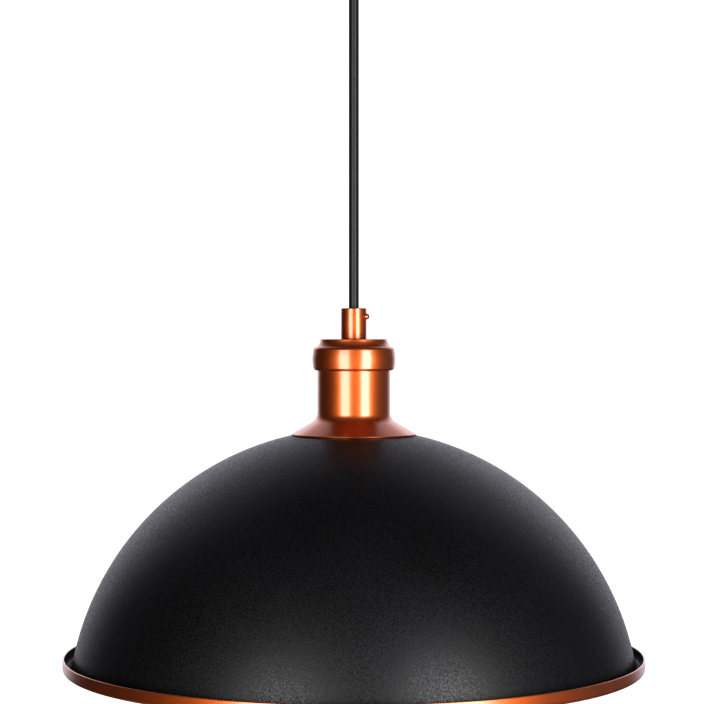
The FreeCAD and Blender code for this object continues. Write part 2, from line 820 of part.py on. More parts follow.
def socket_contacts(floor, socket_top):
    """Screw shell, centre contact, the shell's rivet and the two straps on the socket's top."""
    bore = dim.shell_rad - dim.shell_sheet
    floor_hole = dim.contact_rad + dim.shell_floor_gap
    shell = [
        (floor_hole, dim.shell_tall - dim.shell_sheet),
        (bore, dim.shell_tall - dim.shell_sheet),
        (bore, 0),
        (dim.shell_rad, 0),
        (dim.shell_rad, dim.shell_tall),
        (floor_hole, dim.shell_tall),
    ]
    shell_blank = turned("screw_shell", shell, (0, 0, floor - dim.shell_tall))
    strap_top = socket_top + dim.strap_thick
    stem = strap_top - floor
    contact = [
        (0, 0),
        (dim.contact_rad, 0),
        (dim.contact_rad, dim.contact_tall),
        (dim.rivet_rad, dim.contact_tall),
        (dim.rivet_rad, dim.contact_tall + stem),
        (0, dim.contact_tall + stem),
    ]
    straps = []
    half = dim.terminal_wide / 2 - dim.slip_clear
    reach = dim.terminal_at + dim.terminal_deep / 2
    past = dim.rivet_rad * 2
    live = block("live_strap_blank", (-half, -past, socket_top), (half, reach, strap_top))
    centre_hole = rod("live_strap_hole", dim.rivet_rad + dim.thread_clear, dim.strap_thick, (0, 0, socket_top))
    straps.append(cut("live_strap", live, [centre_hole]))
    low = (-half, -reach, socket_top)
    neutral = block("neutral_strap_blank", low, (half, -past - dim.strap_gap, strap_top))
    shell_hole = rod("neutral_strap_hole", dim.rivet_rad + dim.thread_clear, dim.strap_thick,
                     (0, -dim.terminal_at, socket_top))
    straps.append(cut("neutral_strap", neutral, [shell_hole]))
    keep(
        shell_blank,
        turned("centre_contact", contact, (0, 0, floor - dim.contact_tall)),
        rod("shell_rivet", dim.rivet_rad, stem, (0, -dim.terminal_at, floor)),
        joined("contact_straps", straps, "Compound"),
    )
    return floor - dim.contact_tall, strap_top


def socket_terminals(strap_top):
    """Two brass terminals, each with a clamp screw from above."""
    wide = dim.terminal_wide / 2
    top = strap_top + dim.terminal_tall
    axis = strap_top + dim.terminal_tall / 2
    bore = dim.core_rad + dim.slip_clear
    blocks = []
    screws = []
    for name, side in (("live", 1), ("neutral", -1)):
        middle = dim.terminal_at * side
        low = (-wide, middle - dim.terminal_deep / 2, strap_top)
        body = block(f"terminal_{name}_blank", low, (wide, middle + dim.terminal_deep / 2, top))
        way = (0, middle + dim.terminal_deep / 2, axis)
        tools = [rod(f"terminal_{name}_way", bore, dim.terminal_deep, way, ALONG_Y)]
        thread = dim.small_shank + dim.thread_clear
        tools.append(rod(f"terminal_{name}_thread", thread, top - axis, (0, middle, axis)))
        blocks.append(cut(f"terminal_{name}", body, tools))
        tip = axis + dim.core_rad
        size = (dim.small_shank, dim.small_head, 0, top - tip)
        screws.append(round_screw(f"terminal_screw_{name}", *size, (0, middle, tip)))
    keep(joined("socket_terminals", blocks, "Compound"))
    keep(joined("socket_terminal_screws", screws, "Compound"))
    return axis


def lamp_wiring(sheath_low, tag_low, axis):
    """The cord's lower end, and its three cores to the terminals and the earth tag."""
    cord_end("cord_end_in_lamp", sheath_low, low_mouth - dim.cord_rad - dim.cord_end_gap)
    ring = dim.core_ring
    side = ring * math.cos(math.radians(30))
    half = -ring / 2
    end = dim.terminal_at
    tail_x = (dim.tag_reach - dim.tag_wide / 2) * cosine(dim.tag_turn)
    tail_y = (dim.tag_reach - dim.tag_wide / 2) * sine(dim.tag_turn)
    hang = dim.core_hang
    bend_low = sheath_low - hang
    spread = dim.core_spread
    live = [(0, ring, sheath_low), (0, ring, bend_low), (0, ring + spread, axis), (0, end, axis)]
    neutral = [
        (side, half, sheath_low),
        (side, half, bend_low),
        (0, half - spread * 1.6, axis),
        (0, -end, axis),
    ]
    earth = [
        (-side, half, sheath_low),
        (-side, half, bend_low - hang * 0.3),
        (tail_x * 0.55, tail_y * 0.55, bend_low - hang),
        (tail_x, tail_y, bend_low + hang * 0.2),
        (tail_x, tail_y, tag_low),
    ]
    keep(
        routed("lamp_core_live", live, dim.core_rad),
        routed("lamp_core_neutral", neutral, dim.core_rad),
        routed("lamp_core_earth", earth, dim.core_rad),
    )


# ------------------------------------------------------------------ shade and its ring
def shade(flare_low, thread):
    """The dome. The bend into the gutter is tangent to the dome, which gives the dome's radius."""
    thick = dim.shade_sheet
    bend = dim.gutter_bend
    lip = dim.lip_tall
    centre_across = dim.shade_rad - thick - bend - dim.gutter_flat
    centre_up = dim.dome_centre_drop - lip + thick + bend
    reach = root(centre_across * centre_across + centre_up * centre_up)
    dome = reach - bend
    inner = dome - thick
    hole = thread + dim.hole_clear
    centre = lip - dim.dome_centre_drop
    outline = [
        (hole, centre + root(inner * inner - hole * hole)),
        (centre_across * inner / reach, centre + centre_up * inner / reach, inner, -1),
        (centre_across, 0, bend + thick, 1),
        (dim.shade_rad - thick - bend, 0),
        (dim.shade_rad, thick + bend, bend + thick, 1),
        (dim.shade_rad, lip),
        (dim.shade_rad - thick, lip),
        (dim.shade_rad - thick, thick + bend),
        (dim.shade_rad - thick - bend, thick, bend, -1),
        (centre_across, thick),
        (centre_across * dome / reach, centre + centre_up * dome / reach, bend, -1),
        (hole, centre + root(dome * dome - hole * hole), dome, 1),
    ]
    dome_centre = flare_low - root(dome * dome - dim.flare_rad * dim.flare_rad)
    low = dome_centre - centre
    keep(turned("shade", outline, (0, 0, low)))
    print(f"dome radius {dome.value:.2f}, lip top at {(low + lip).value:.2f}")
    return dome_centre, inner


def shade_ring(dome_centre, inner, thread):
    """The ring under the shade: its top lies against the dome's inside all the way round."""
    bore = thread + dim.slip_clear
    rim = dim.shade_ring_rad
    hub = bore + dim.shade_ring_hub
    tall = dim.shade_ring_tall
    drop = root(inner * inner - bore * bore) - root(inner * inner - rim * rim)
    outline = [
        (bore, 0),
        (hub, 0),
        (hub, tall - dim.shade_ring_rim - drop),
        (rim, tall - dim.shade_ring_rim - drop),
        (rim, tall - drop),
        (bore, tall, inner, 1),
    ]
    top = dome_centre + root(inner * inner - bore * bore)
    keep(turned("shade_ring", outline, (0, 0, top - tall)))


# ------------------------------------------------------------------ bulb
def bulb(tip):
    """An E27 bulb with its centre contact against the lampholder's. Depths are below the tip."""
    rad = dim.bulb_rad
    wall = dim.bulb_wall
    button = dim.bulb_button_tall
    insulator = dim.bulb_insulator_tall
    cap_low = button + insulator + dim.bulb_cap_tall
    cap_rad = dim.shell_rad - dim.shell_sheet - dim.bulb_clear
    sheet_in = cap_rad - dim.bulb_cap_sheet
    crown = dim.bulb_crown_rad
    glass_low = dim.bulb_long
    keep(turned("bulb_contact", [
        (0, 0),
        (dim.bulb_button_rad, 0),
        (dim.bulb_button_rad, button - dim.bulb_button_edge),
        (dim.bulb_button_rad - dim.bulb_button_edge, button),
        (0, button),
    ], (0, 0, tip - button)))
    keep(turned("bulb_insulator", [
        (0, 0),
        (crown, 0),
        (dim.bulb_insulator_rad, insulator),
        (0, insulator),
    ], (0, 0, tip - button - insulator)))
    cap_tall = dim.bulb_cap_tall
    sheet_thick = dim.bulb_cap_sheet
    shoulder = cap_tall - dim.bulb_cap_shoulder
    flange = crown - dim.bulb_crown_flange
    keep(turned("bulb_screw_cap", [
        (sheet_in, 0),
        (cap_rad, 0),
        (cap_rad, shoulder),
        (crown, cap_tall),
        (flange, cap_tall),
        (flange, cap_tall - sheet_thick),
        (crown - sheet_thick, cap_tall - sheet_thick),
        (sheet_in, shoulder - sheet_thick),
    ], (0, 0, tip - cap_low)))

    # glass: a sphere and a cone tangent to it, down to a short neck inside the cap
    centre = rad
    slope = dim.bulb_cone
    neck = sheet_in - dim.thread_clear
    neck_top = glass_low - cap_low + dim.bulb_neck_in_cap
    cone_top = centre + (rad - neck * cosine(slope)) / sine(slope)
    inner = rad - wall
    inner_neck = neck - wall
    inner_cone_top = centre + (inner - inner_neck * cosine(slope)) / sine(slope)
    glass_at = (0, 0, tip - glass_low)
    keep(turned("bulb_glass", [
        (0, 0),
        (rad * cosine(slope), centre + rad * sine(slope), rad, 1),
        (neck, cone_top),
        (neck, neck_top),
        (inner_neck, neck_top),
        (inner_neck, inner_cone_top),
        (inner * cosine(slope), centre + inner * sine(slope)),
        (0, wall, inner, -1),
    ], glass_at))

    # stem, filaments and their wires
    flare_top = neck_top - dim.stem_drop
    flare_low = flare_top - dim.stem_flare
    post_low = flare_low - dim.stem_post
    stem_rad = inner_neck - dim.thread_clear
    press_rad = dim.stem_press_rad
    taper = dim.stem_taper
    keep(turned("bulb_stem", [
        (0, 0),
        (dim.stem_post_rad, 0),
        (dim.stem_post_rad, dim.stem_post),
        (press_rad, dim.stem_post + taper),
        (press_rad, dim.stem_post + dim.stem_press),
        (stem_rad, flare_top - post_low - taper / 2),
        (stem_rad, flare_top - post_low),
        (0, flare_top - post_low),
    ], (0, 0, tip - glass_low + post_low)))
    rods = []
    wires = []
    filament_top = tip - glass_low + flare_low - dim.filament_drop
    filament_low = filament_top - dim.filament_long
    stem_low = tip - glass_low + post_low
    spoke = dim.filament_ring
    lead_start = press_rad - dim.thread_clear * 2
    for quarter in range(4):
        turn = 45 + 90 * quarter
        across = spoke * math.cos(math.radians(turn))
        along = spoke * math.sin(math.radians(turn))
        rods.append(rod(f"filament_{quarter}", dim.filament_rad, dim.filament_long,
                        (across, along, filament_low)))
        level = stem_low + dim.lead_rise + dim.wire_rad
        aim = outwards(turn)
        lead = rod(f"lead_{quarter}", dim.wire_rad, spoke, (0, 0, level), aim)
        riser = rod(f"riser_{quarter}", dim.wire_rad, level - filament_top, (across, along, filament_top))
        stem_tool = rod(f"stem_room_{quarter}", lead_start, dim.filament_long, (0, 0, stem_low))
        wires.append(cut(f"lead_wire_{quarter}", joined(f"lead_bent_{quarter}", [lead, riser]), [stem_tool]))
        arm = rod(f"arm_{quarter}", dim.wire_rad, spoke + dim.wire_rad, (0, 0, filament_low - dim.wire_rad), aim)
        wires.append(arm)
    centre_post = rod("centre_post", dim.wire_rad, stem_low - filament_low + dim.wire_rad * 2,
                      (0, 0, filament_low - dim.wire_rad * 2))
    arms = [wire for wire in wires if wire.Name.startswith("arm")]
    leads = [wire for wire in wires if not wire.Name.startswith("arm")]
    spider = joined("bulb_spider", arms + [centre_post])
    keep(joined("bulb_filaments", rods, "Compound"))
    keep(joined("bulb_support_wires", leads + [spider], "Compound"))


# ------------------------------------------------------------------ the light, from the top down
ceiling_bracket()
canopy()
nipple_top = canopy_fixings()
barrel_axis = terminal_block()
cord_grip("canopy_grip", top_mouth, UPSIDE_DOWN)
canopy_wiring(nipple_top + dim.sheath_past_nipple, barrel_axis)
free_cord = cord()
cord_grip("lamp_grip", low_mouth, None)
holder_cap()
flare_bottom = neck_shell()
bridge_low, earth_tag_low, nipple_bottom = lamp_fixings()
holder_top = cap_top - dim.socket_deep
bridge_screws = socket_bridge(bridge_low, holder_top)
shell_floor, ring_thread = socket_body(holder_top, *bridge_screws)
contact_tip, strap_level = socket_contacts(shell_floor, holder_top)
terminal_axis = socket_terminals(strap_level)
lamp_wiring(nipple_bottom - dim.sheath_past_nipple, earth_tag_low, terminal_axis)
centre_of_dome, inside_of_dome = shade(flare_bottom, ring_thread)
shade_ring(centre_of_dome, inside_of_dome, ring_thread)
bulb(contact_tip)

# ------------------------------------------------------------------ check and write
doc.recompute()
faults = [thing.Label for thing in doc.Objects if {"Invalid", "Error"} & set(thing.State)]
faults += [piece.Label for piece in PIECES if piece.Shape.isNull() or not piece.Shape.isValid()]
if faults:
    raise SystemExit("not built: " + ", ".join(faults))
cord_whole = math.pi * dim.cord_rad.value ** 2 * (dim.cord_free.value + dim.cord_rad.value * 4 / 3)
print(f"cord: free length {dim.cord_free.value:.0f} mm, volume {free_cord.Shape.Volume / cord_whole:.4f}")
os.makedirs("parts", exist_ok=True)
for piece in PIECES:
    piece.Shape.exportStep(f"parts/{piece.Label}.step")
    solids = len(piece.Shape.Solids)
    box = piece.Shape.BoundBox
    print(f"{piece.Label}: {solids} solid(s), {piece.Shape.Volume:.0f} mm3, z {box.ZMin:.1f} to {box.ZMax:.1f}")
print(f"{len(PIECES)} nodes")
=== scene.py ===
# %% [markdown]
# # A pendant ceiling light, built piece by piece
# This lesson models a lamp that hangs from a ceiling: a black dome shade with a copper rim, a
# copper holder, a black cord and a canopy that hides the wiring. The engineering model is loaded
# first and never moved. Each piece that shows is then modelled in the same place with more care,
# in the order in which the lamp is put together.

# %% Load the engineering model
import json
import math

import bmesh
import bpy
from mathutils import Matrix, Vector

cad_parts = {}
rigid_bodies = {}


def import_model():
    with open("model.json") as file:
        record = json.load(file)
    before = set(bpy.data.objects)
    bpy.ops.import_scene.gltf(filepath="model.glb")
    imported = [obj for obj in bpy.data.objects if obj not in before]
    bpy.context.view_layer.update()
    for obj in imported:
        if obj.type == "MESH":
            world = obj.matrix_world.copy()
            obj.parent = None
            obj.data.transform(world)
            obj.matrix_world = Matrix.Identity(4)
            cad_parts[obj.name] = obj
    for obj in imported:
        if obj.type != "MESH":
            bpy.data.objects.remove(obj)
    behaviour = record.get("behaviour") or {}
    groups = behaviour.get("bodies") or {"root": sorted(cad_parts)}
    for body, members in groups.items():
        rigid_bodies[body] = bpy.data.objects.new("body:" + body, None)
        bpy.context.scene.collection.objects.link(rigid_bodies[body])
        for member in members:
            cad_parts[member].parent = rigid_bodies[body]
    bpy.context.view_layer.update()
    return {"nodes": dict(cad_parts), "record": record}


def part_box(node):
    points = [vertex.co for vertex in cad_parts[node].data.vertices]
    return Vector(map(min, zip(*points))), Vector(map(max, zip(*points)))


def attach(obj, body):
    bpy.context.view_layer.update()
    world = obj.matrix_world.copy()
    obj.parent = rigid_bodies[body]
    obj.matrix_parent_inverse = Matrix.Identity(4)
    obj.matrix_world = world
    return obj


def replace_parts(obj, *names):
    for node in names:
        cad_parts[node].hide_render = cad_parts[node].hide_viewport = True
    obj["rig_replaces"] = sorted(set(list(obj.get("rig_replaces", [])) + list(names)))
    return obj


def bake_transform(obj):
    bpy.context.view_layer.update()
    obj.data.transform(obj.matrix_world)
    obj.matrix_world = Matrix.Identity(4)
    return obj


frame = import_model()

# %% [markdown]
# ## The camera
# The camera comes first, because everything is judged through it. The lamp is seen almost from
# the side, at the height of its cord grip, from a little over a metre away. A long lens keeps the
# dome's outline close to a true circle. The small downward tilt frames the shade instead of the
# empty air above it.

# %% Place the camera
bpy.ops.object.camera_add(
    location=(-0.001, -1.187, -0.2586), rotation=(math.radians(89.15), 0, 0)
)
camera = bpy.context.object
camera.name = "camera"
camera.data.lens = 109.84
camera.data.sensor_width = 36
bpy.context.scene.camera = camera
print("camera", tuple(camera.location))

# %% [markdown]
# ## Millimetres and levels
# Small pieces are easier to think about in millimetres, while Blender works in metres here. One
# scale factor is kept for that, and two helpers ask the engineering model where a piece starts
# and ends, so no height is typed twice.

# %% Millimetres and levels
MM = 0.001


def foot_of(node):
    """The lowest level of an engineering piece, in millimetres."""
    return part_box(node)[0][2] / MM


def top_of(node):
    """The highest level of an engineering piece, in millimetres."""
    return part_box(node)[1][2] / MM


print("shade from", round(foot_of("shade"), 2), "to", round(top_of("shade"), 2))

# %% [markdown]
# ## The cord
# A pendant cord is a soft cable held straight by the lamp's weight. It could be a cylinder, but a
# cord is a path with a thickness, and it has to bend where it leaves the upper grip when the lamp
# swings. So it starts as a NURBS curve down the middle, gets a round bevel, and is then turned
# into a mesh tube with rings close enough together to bend.

# %% Draw the cord's line
cord_rad = 2.75
cord_top = Vector((0, 0, -49.25)) * MM
cord_middle = Vector((0, 0, -151.0)) * MM
cord_foot = Vector((0, 0, -253.0)) * MM


def cord_line(name, thickness):
    """A smooth curve through the cord's route, with or without its thickness."""
    line = bpy.data.curves.new(name, "CURVE")
    line.dimensions = "3D"
    line.resolution_u = 60
    spline = line.splines.new("NURBS")
    spline.points.add(2)
    for point, place in zip(spline.points, (cord_top, cord_middle, cord_foot)):
        point.co = (*place, 1)
    spline.order_u = 3
    spline.use_endpoint_u = True
    line.bevel_depth = thickness
    line.bevel_resolution = 7
    line.use_fill_caps = True
    route = bpy.data.objects.new(name, line)
    bpy.context.scene.collection.objects.link(route)
    return route


centre_line = cord_line("cord_centre_line", 0)
centre_mesh = bpy.data.meshes.new_from_object(centre_line)
bpy.data.objects.remove(centre_line)

# %% [markdown]
# The same line is drawn again with a round bevel and made a mesh. Its two ends sit just inside the
# grips, so no gap shows when the lamp tilts.

# %% Give the cord its thickness
bpy.ops.object.select_all(action="DESELECT")
cord = cord_line("pendant_cord", cord_rad * MM)
bpy.context.view_layer.objects.active = cord
cord.select_set(True)
bpy.ops.object.convert(target="MESH")
cord = bpy.context.object
bpy.ops.object.shade_smooth_by_angle(angle=math.radians(40))
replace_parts(cord, "cord")
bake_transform(cord)
print("cord rings:", len(cord.data.vertices))

# %% [markdown]
# ## Drawing half a section and spinning it
# Most of this lamp is spun or turned metal, glass or porcelain, so it is round about one axis. A
# maker draws half of the section and turns it. Here one vertex is extruded from corner to corner
# to draw that section, and Spin turns it about the upright axis. Arcs are drawn as short steps.

# %% Helpers for a section
def clear_selection():
    """Leave edit mode and select nothing."""
    if bpy.context.object and bpy.context.object.mode != "OBJECT":
        bpy.ops.object.mode_set(mode="OBJECT")
    bpy.ops.object.select_all(action="DESELECT")


def make_active(piece):
    """Select one piece alone."""
    clear_selection()
    bpy.context.view_layer.objects.active = piece
    piece.select_set(True)


def arc(across, up, radius, start, end, steps):
    """Corners along an arc about a centre, with the angles in degrees from the outward line."""
    angles = [math.radians(start + (end - start) * step / steps) for step in range(steps + 1)]
    return [(across + radius * math.cos(angle), up + radius * math.sin(angle)) for angle in angles]


PLANES = {
    "XZ": lambda across, up: Vector((across, 0, up)) * MM,
    "XY": lambda across, up: Vector((across, up, 0)) * MM,
}


def draw_section(name, corners, closed=True, plane="XZ"):
    """Extrude one vertex from corner to corner. The piece is left in edit mode, all selected."""
    clear_selection()
    bpy.ops.mesh.primitive_plane_add(size=MM)
    piece = bpy.context.object
    piece.name = piece.data.name = name
    bpy.ops.object.mode_set(mode="EDIT")
    bpy.ops.mesh.select_mode(type="VERT")
    bpy.ops.mesh.select_all(action="SELECT")
    bpy.ops.mesh.merge(type="CENTER")
    spots = [PLANES[plane](*corner) for corner in corners]
    bpy.ops.transform.translate(value=spots[0])
    for before, after in zip(spots, spots[1:]):
        bpy.ops.mesh.extrude_region_move(TRANSFORM_OT_translate={"value": after - before})
    if closed:
        sketch = bmesh.from_edit_mesh(piece.data)
        min(sketch.verts, key=lambda vertex: (vertex.co - spots[0]).length).select = True
        bmesh.update_edit_mesh(piece.data)
        bpy.ops.mesh.edge_face_add()
    bpy.ops.mesh.select_all(action="SELECT")
    return piece


def tidy_shell(piece, smooth=35):
    """Merge doubled corners, turn every face outwards and smooth all but the sharp edges."""
    make_active(piece)
    bpy.ops.object.mode_set(mode="EDIT")
    bpy.ops.mesh.select_all(action="SELECT")
    bpy.ops.mesh.remove_doubles(threshold=MM / 500)
    bpy.ops.mesh.normals_make_consistent(inside=False)
    bpy.ops.object.mode_set(mode="OBJECT")
    bpy.ops.object.shade_smooth_by_angle(angle=math.radians(smooth))
    return piece


def spun(name, corners, steps=96, closed=True, smooth=35):
    """A piece turned about the upright axis from half of its section."""
    piece = draw_section(name, corners, closed)
    bpy.ops.mesh.spin(steps=steps, angle=math.tau, center=(0, 0, 0), axis=(0, 0, 1))
    tidy_shell(piece, smooth)
    print(name, len(piece.data.polygons), "faces")
    return piece


# %% [markdown]
# ## Finishes
# A finish is a shader with a pattern in it. Plain numbers, such as how metallic it is, are typed
# on the shader. What varies over the surface comes from noise measured in the object's own
# coordinates, which keeps a grain the same size on every piece and still when the view moves.

# %% Helpers for a finish
def new_finish(name, **sockets):
    """A material with its plain values on the shader's own sockets."""
    material = bpy.data.materials.new(name)
    material.use_nodes = True
    shader = material.node_tree.nodes["Principled BSDF"]
    for socket, value in sockets.items():
        shader.inputs[socket.replace("_", " ")].default_value = value
    print("finish", name)
    return material, shader


def add_node(material, kind, **values):
    """One more node, with its inputs typed in by name."""
    node = material.node_tree.nodes.new(kind)
    for socket, value in values.items():
        node.inputs[socket.replace("_", " ")].default_value = value
    return node


def join(material, start, end):
    """Wire one output to one input."""
    material.node_tree.links.new(start, end)


def noise(material, scale, detail=3.0, rough=0.55):
    """Noise in the piece's own coordinates, at so many grains to the metre."""
    place = add_node(material, "ShaderNodeTexCoord")
    grain = add_node(material, "ShaderNodeTexNoise", Scale=scale, Detail=detail, Roughness=rough)
    join(material, place.outputs["Object"], grain.inputs["Vector"])
    return grain.outputs["Fac"]


def vary(material, source, low, high, target, start=0.3, end=0.7):
    """Let a pattern move one number between two values."""
    span = add_node(
        material, "ShaderNodeMapRange", From_Min=start, From_Max=end, To_Min=low, To_Max=high
    )
    join(material, source, span.inputs["Value"])
    join(material, span.outputs["Result"], target)


def tint(material, source, dark, light, target, start=0.3, end=0.7):
    """Let a pattern move the colour between a darker and a lighter one."""
    ramp = add_node(material, "ShaderNodeValToRGB")
    ramp.color_ramp.elements[0].position = start
    ramp.color_ramp.elements[0].color = (*dark, 1)
    ramp.color_ramp.elements[1].position = end
    ramp.color_ramp.elements[1].color = (*light, 1)
    join(material, source, ramp.inputs["Fac"])
    join(material, ramp.outputs["Color"], target)


def emboss(material, shader, source, strength, distance):
    """Raise the surface by a pattern, with the height in millimetres."""
    bump = add_node(material, "ShaderNodeBump", Strength=strength, Distance=distance * MM)
    join(material, source, bump.inputs["Height"])
    join(material, bump.outputs["Normal"], shader.inputs["Normal"])


def grained(name, dark, light, smooth, dull, scale, strength, distance, **sockets):
    """A finish with one grain in its colour, its gloss and its surface."""
    material, shader = new_finish(name, **sockets)
    grain = noise(material, scale)
    tint(material, grain, dark, light, shader.inputs["Base Color"])
    vary(material, grain, smooth, dull, shader.inputs["Roughness"])
    emboss(material, shader, grain, strength, distance)
    return material


# %% [markdown]
# ### Black powder coat
# Powder coat is sprayed on dry and baked. It dries to a fine sand texture that spreads every
# highlight, so a real black shade is never quite black where light grazes it. Two grains make
# that: a fine one for the sand and a slow one for the slight unevenness of the bake.

# %% Black powder coat
black_coat, shader = new_finish("sanded_black_powder_coat")
sand = noise(black_coat, 1300, detail=2.0, rough=0.6)
bake = noise(black_coat, 22, detail=2.0)
tint(
    black_coat, bake, (0.0014, 0.0014, 0.0018), (0.0032, 0.0032, 0.0040),
    shader.inputs["Base Color"],
)
vary(black_coat, sand, 0.62, 0.28, shader.inputs["Roughness"], 0.32, 0.68)
emboss(black_coat, shader, sand, 0.45, 0.12)

# %% [markdown]
# ### Copper lacquer
# The rim, neck, cap and grips have the same warm copper: a metallic lacquer with very fine
# flakes under a clear coat. A metal shader gives the colour, a tight noise gives the flakes, and
# a coat on top adds the second, sharper highlight of the lacquer.

# %% Copper lacquer
copper, shader = new_finish(
    "copper_lacquer", Metallic=1.0, Coat_Weight=1.0, Coat_Roughness=0.21, Coat_IOR=1.9
)
flakes = noise(copper, 2600, detail=1.0)
drift = noise(copper, 60, detail=3.0)
tint(
    copper, flakes, (0.60, 0.110, 0.011), (0.76, 0.168, 0.020), shader.inputs["Base Color"],
    0.25, 0.8,
)
vary(copper, drift, 0.42, 0.46, shader.inputs["Roughness"])
emboss(copper, shader, flakes, 0.05, 0.05)

# %% [markdown]
# ### The hidden finishes
# Inside the canopy and the holder are plated steel, brass, porcelain, nylon and insulated wire.
# Each is the same recipe with its own colours: a grain that shifts the colour, the gloss and the
# height a little, at the scale of plating, moulding or glaze.

# %% Metals
zinc = grained(
    "zinc_plated_steel", dark=(0.50, 0.51, 0.53), light=(0.68, 0.69, 0.70),
    smooth=0.24, dull=0.38, scale=320, strength=0.15, distance=0.05, Metallic=1.0,
)
brass = grained(
    "brass", dark=(0.66, 0.44, 0.16), light=(0.86, 0.64, 0.28),
    smooth=0.18, dull=0.32, scale=420, strength=0.12, distance=0.04, Metallic=1.0,
)
nickel = grained(
    "nickel", dark=(0.62, 0.60, 0.56), light=(0.76, 0.74, 0.70),
    smooth=0.16, dull=0.30, scale=500, strength=0.10, distance=0.03, Metallic=1.0,
)

# %% Porcelain, plastics and filament
porcelain = grained(
    "porcelain", dark=(0.80, 0.77, 0.70), light=(0.88, 0.86, 0.80),
    smooth=0.16, dull=0.26, scale=240, strength=0.10, distance=0.06, Coat_Weight=0.5,
)
phenolic = grained(
    "black_phenolic", dark=(0.012, 0.011, 0.010), light=(0.030, 0.026, 0.022),
    smooth=0.26, dull=0.38, scale=700, strength=0.12, distance=0.05,
)
nylon = grained(
    "white_nylon", dark=(0.74, 0.74, 0.71), light=(0.83, 0.83, 0.80),
    smooth=0.36, dull=0.50, scale=500, strength=0.14, distance=0.06,
    Subsurface_Weight=0.08, Subsurface_Scale=0.002,
)
phosphor = grained(
    "filament_phosphor", dark=(0.80, 0.52, 0.10), light=(0.92, 0.68, 0.20),
    smooth=0.50, dull=0.70, scale=2500, strength=0.25, distance=0.05,
)

# %% Cord and core insulation
sheath = grained(
    "cord_sheath_rubber", dark=(0.0020, 0.0020, 0.0024), light=(0.0045, 0.0045, 0.0050),
    smooth=0.38, dull=0.46, scale=600, strength=0.10, distance=0.04,
)
brown_core = grained(
    "brown_core", dark=(0.16, 0.060, 0.028), light=(0.23, 0.09, 0.04),
    smooth=0.36, dull=0.46, scale=700, strength=0.10, distance=0.04,
)
blue_core = grained(
    "blue_core", dark=(0.020, 0.10, 0.42), light=(0.035, 0.15, 0.52),
    smooth=0.36, dull=0.46, scale=700, strength=0.10, distance=0.04,
)

# %% [markdown]
# ### Green and yellow earth wire
# An earth core has two colours. A noise would mottle them, so a wave texture with no distortion
# lays straight slanting bands through the wire, and a steep ramp makes each band green or yellow
# with a clean edge between them.

# %% Green and yellow earth wire
earth_core, shader = new_finish("earth_core", Roughness=0.40)
place = add_node(earth_core, "ShaderNodeTexCoord")
bands = add_node(earth_core, "ShaderNodeTexWave", Scale=70.0, Distortion=0.0)
bands.wave_type = "BANDS"
bands.bands_direction = "DIAGONAL"
join(earth_core, place.outputs["Object"], bands.inputs["Vector"])
tint(
    earth_core, bands.outputs["Fac"], (0.03, 0.22, 0.03), (0.75, 0.62, 0.03),
    shader.inputs["Base Color"], 0.48, 0.52,
)
emboss(earth_core, shader, noise(earth_core, 700), 0.10, 0.04)

# %% [markdown]
# ### Bulb glass
# Clear glass lets light through and bends it. The shader does that with transmission. A trace of
# slow noise in its surface stands for the slight waviness of blown glass.

# %% Bulb glass
bulb_glass, shader = new_finish(
    "bulb_glass", Transmission_Weight=1.0, IOR=1.46, Roughness=0.0, Base_Color=(0.98, 0.99, 0.99, 1)
)
vary(bulb_glass, noise(bulb_glass, 40), 0.0, 0.02, shader.inputs["Roughness"])
emboss(bulb_glass, shader, noise(bulb_glass, 35, detail=1.0), 0.05, 0.1)
print(len(bpy.data.materials), "materials")

# %% [markdown]
# ## Putting a piece in its place
# A modelled piece stands for one engineering piece, moves with the same body and wears one
# finish. One helper does the three things together, and finds the body by itself.

# %% Finish and place a piece
BODIES = frame["record"]["behaviour"]["bodies"]
SLOTS = {
    "black_powder_coat": black_coat, "copper": copper, "zinc_steel": zinc, "brass": brass,
    "porcelain": porcelain, "black_phenolic": phenolic, "white_nylon": nylon,
    "cord_sheath": sheath, "brown_core": brown_core, "blue_core": blue_core,
    "earth_core": earth_core, "clear_glass": bulb_glass, "nickel": nickel, "filament": phosphor,
}


def body_of(node):
    """The name of the moving body that an engineering piece belongs to."""
    return next(name for name, nodes in BODIES.items() if node in nodes)


def settle(piece, node, slot):
    """Give a piece its finish and let it stand for an engineering piece."""
    if not piece.data.materials:
        piece.data.materials.append(SLOTS[slot])
    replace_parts(piece, node)
    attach(piece, body_of(node))
    print(piece.name, "stands for", node, "on", body_of(node))


cord.data.materials.append(sheath)
print({name: len(nodes) for name, nodes in BODIES.items()})

# %% [markdown]
# ## The shade
# The shade is spun from one sheet: a dome whose edge turns out into a small gutter and up into a
# lip. It could be half a sphere with a ring, but then the curl would be missing, and that is what
# catches the light. So the whole wall is one closed outline, inside and outside, and its top
# edge is rounded as a trimmed sheet is.

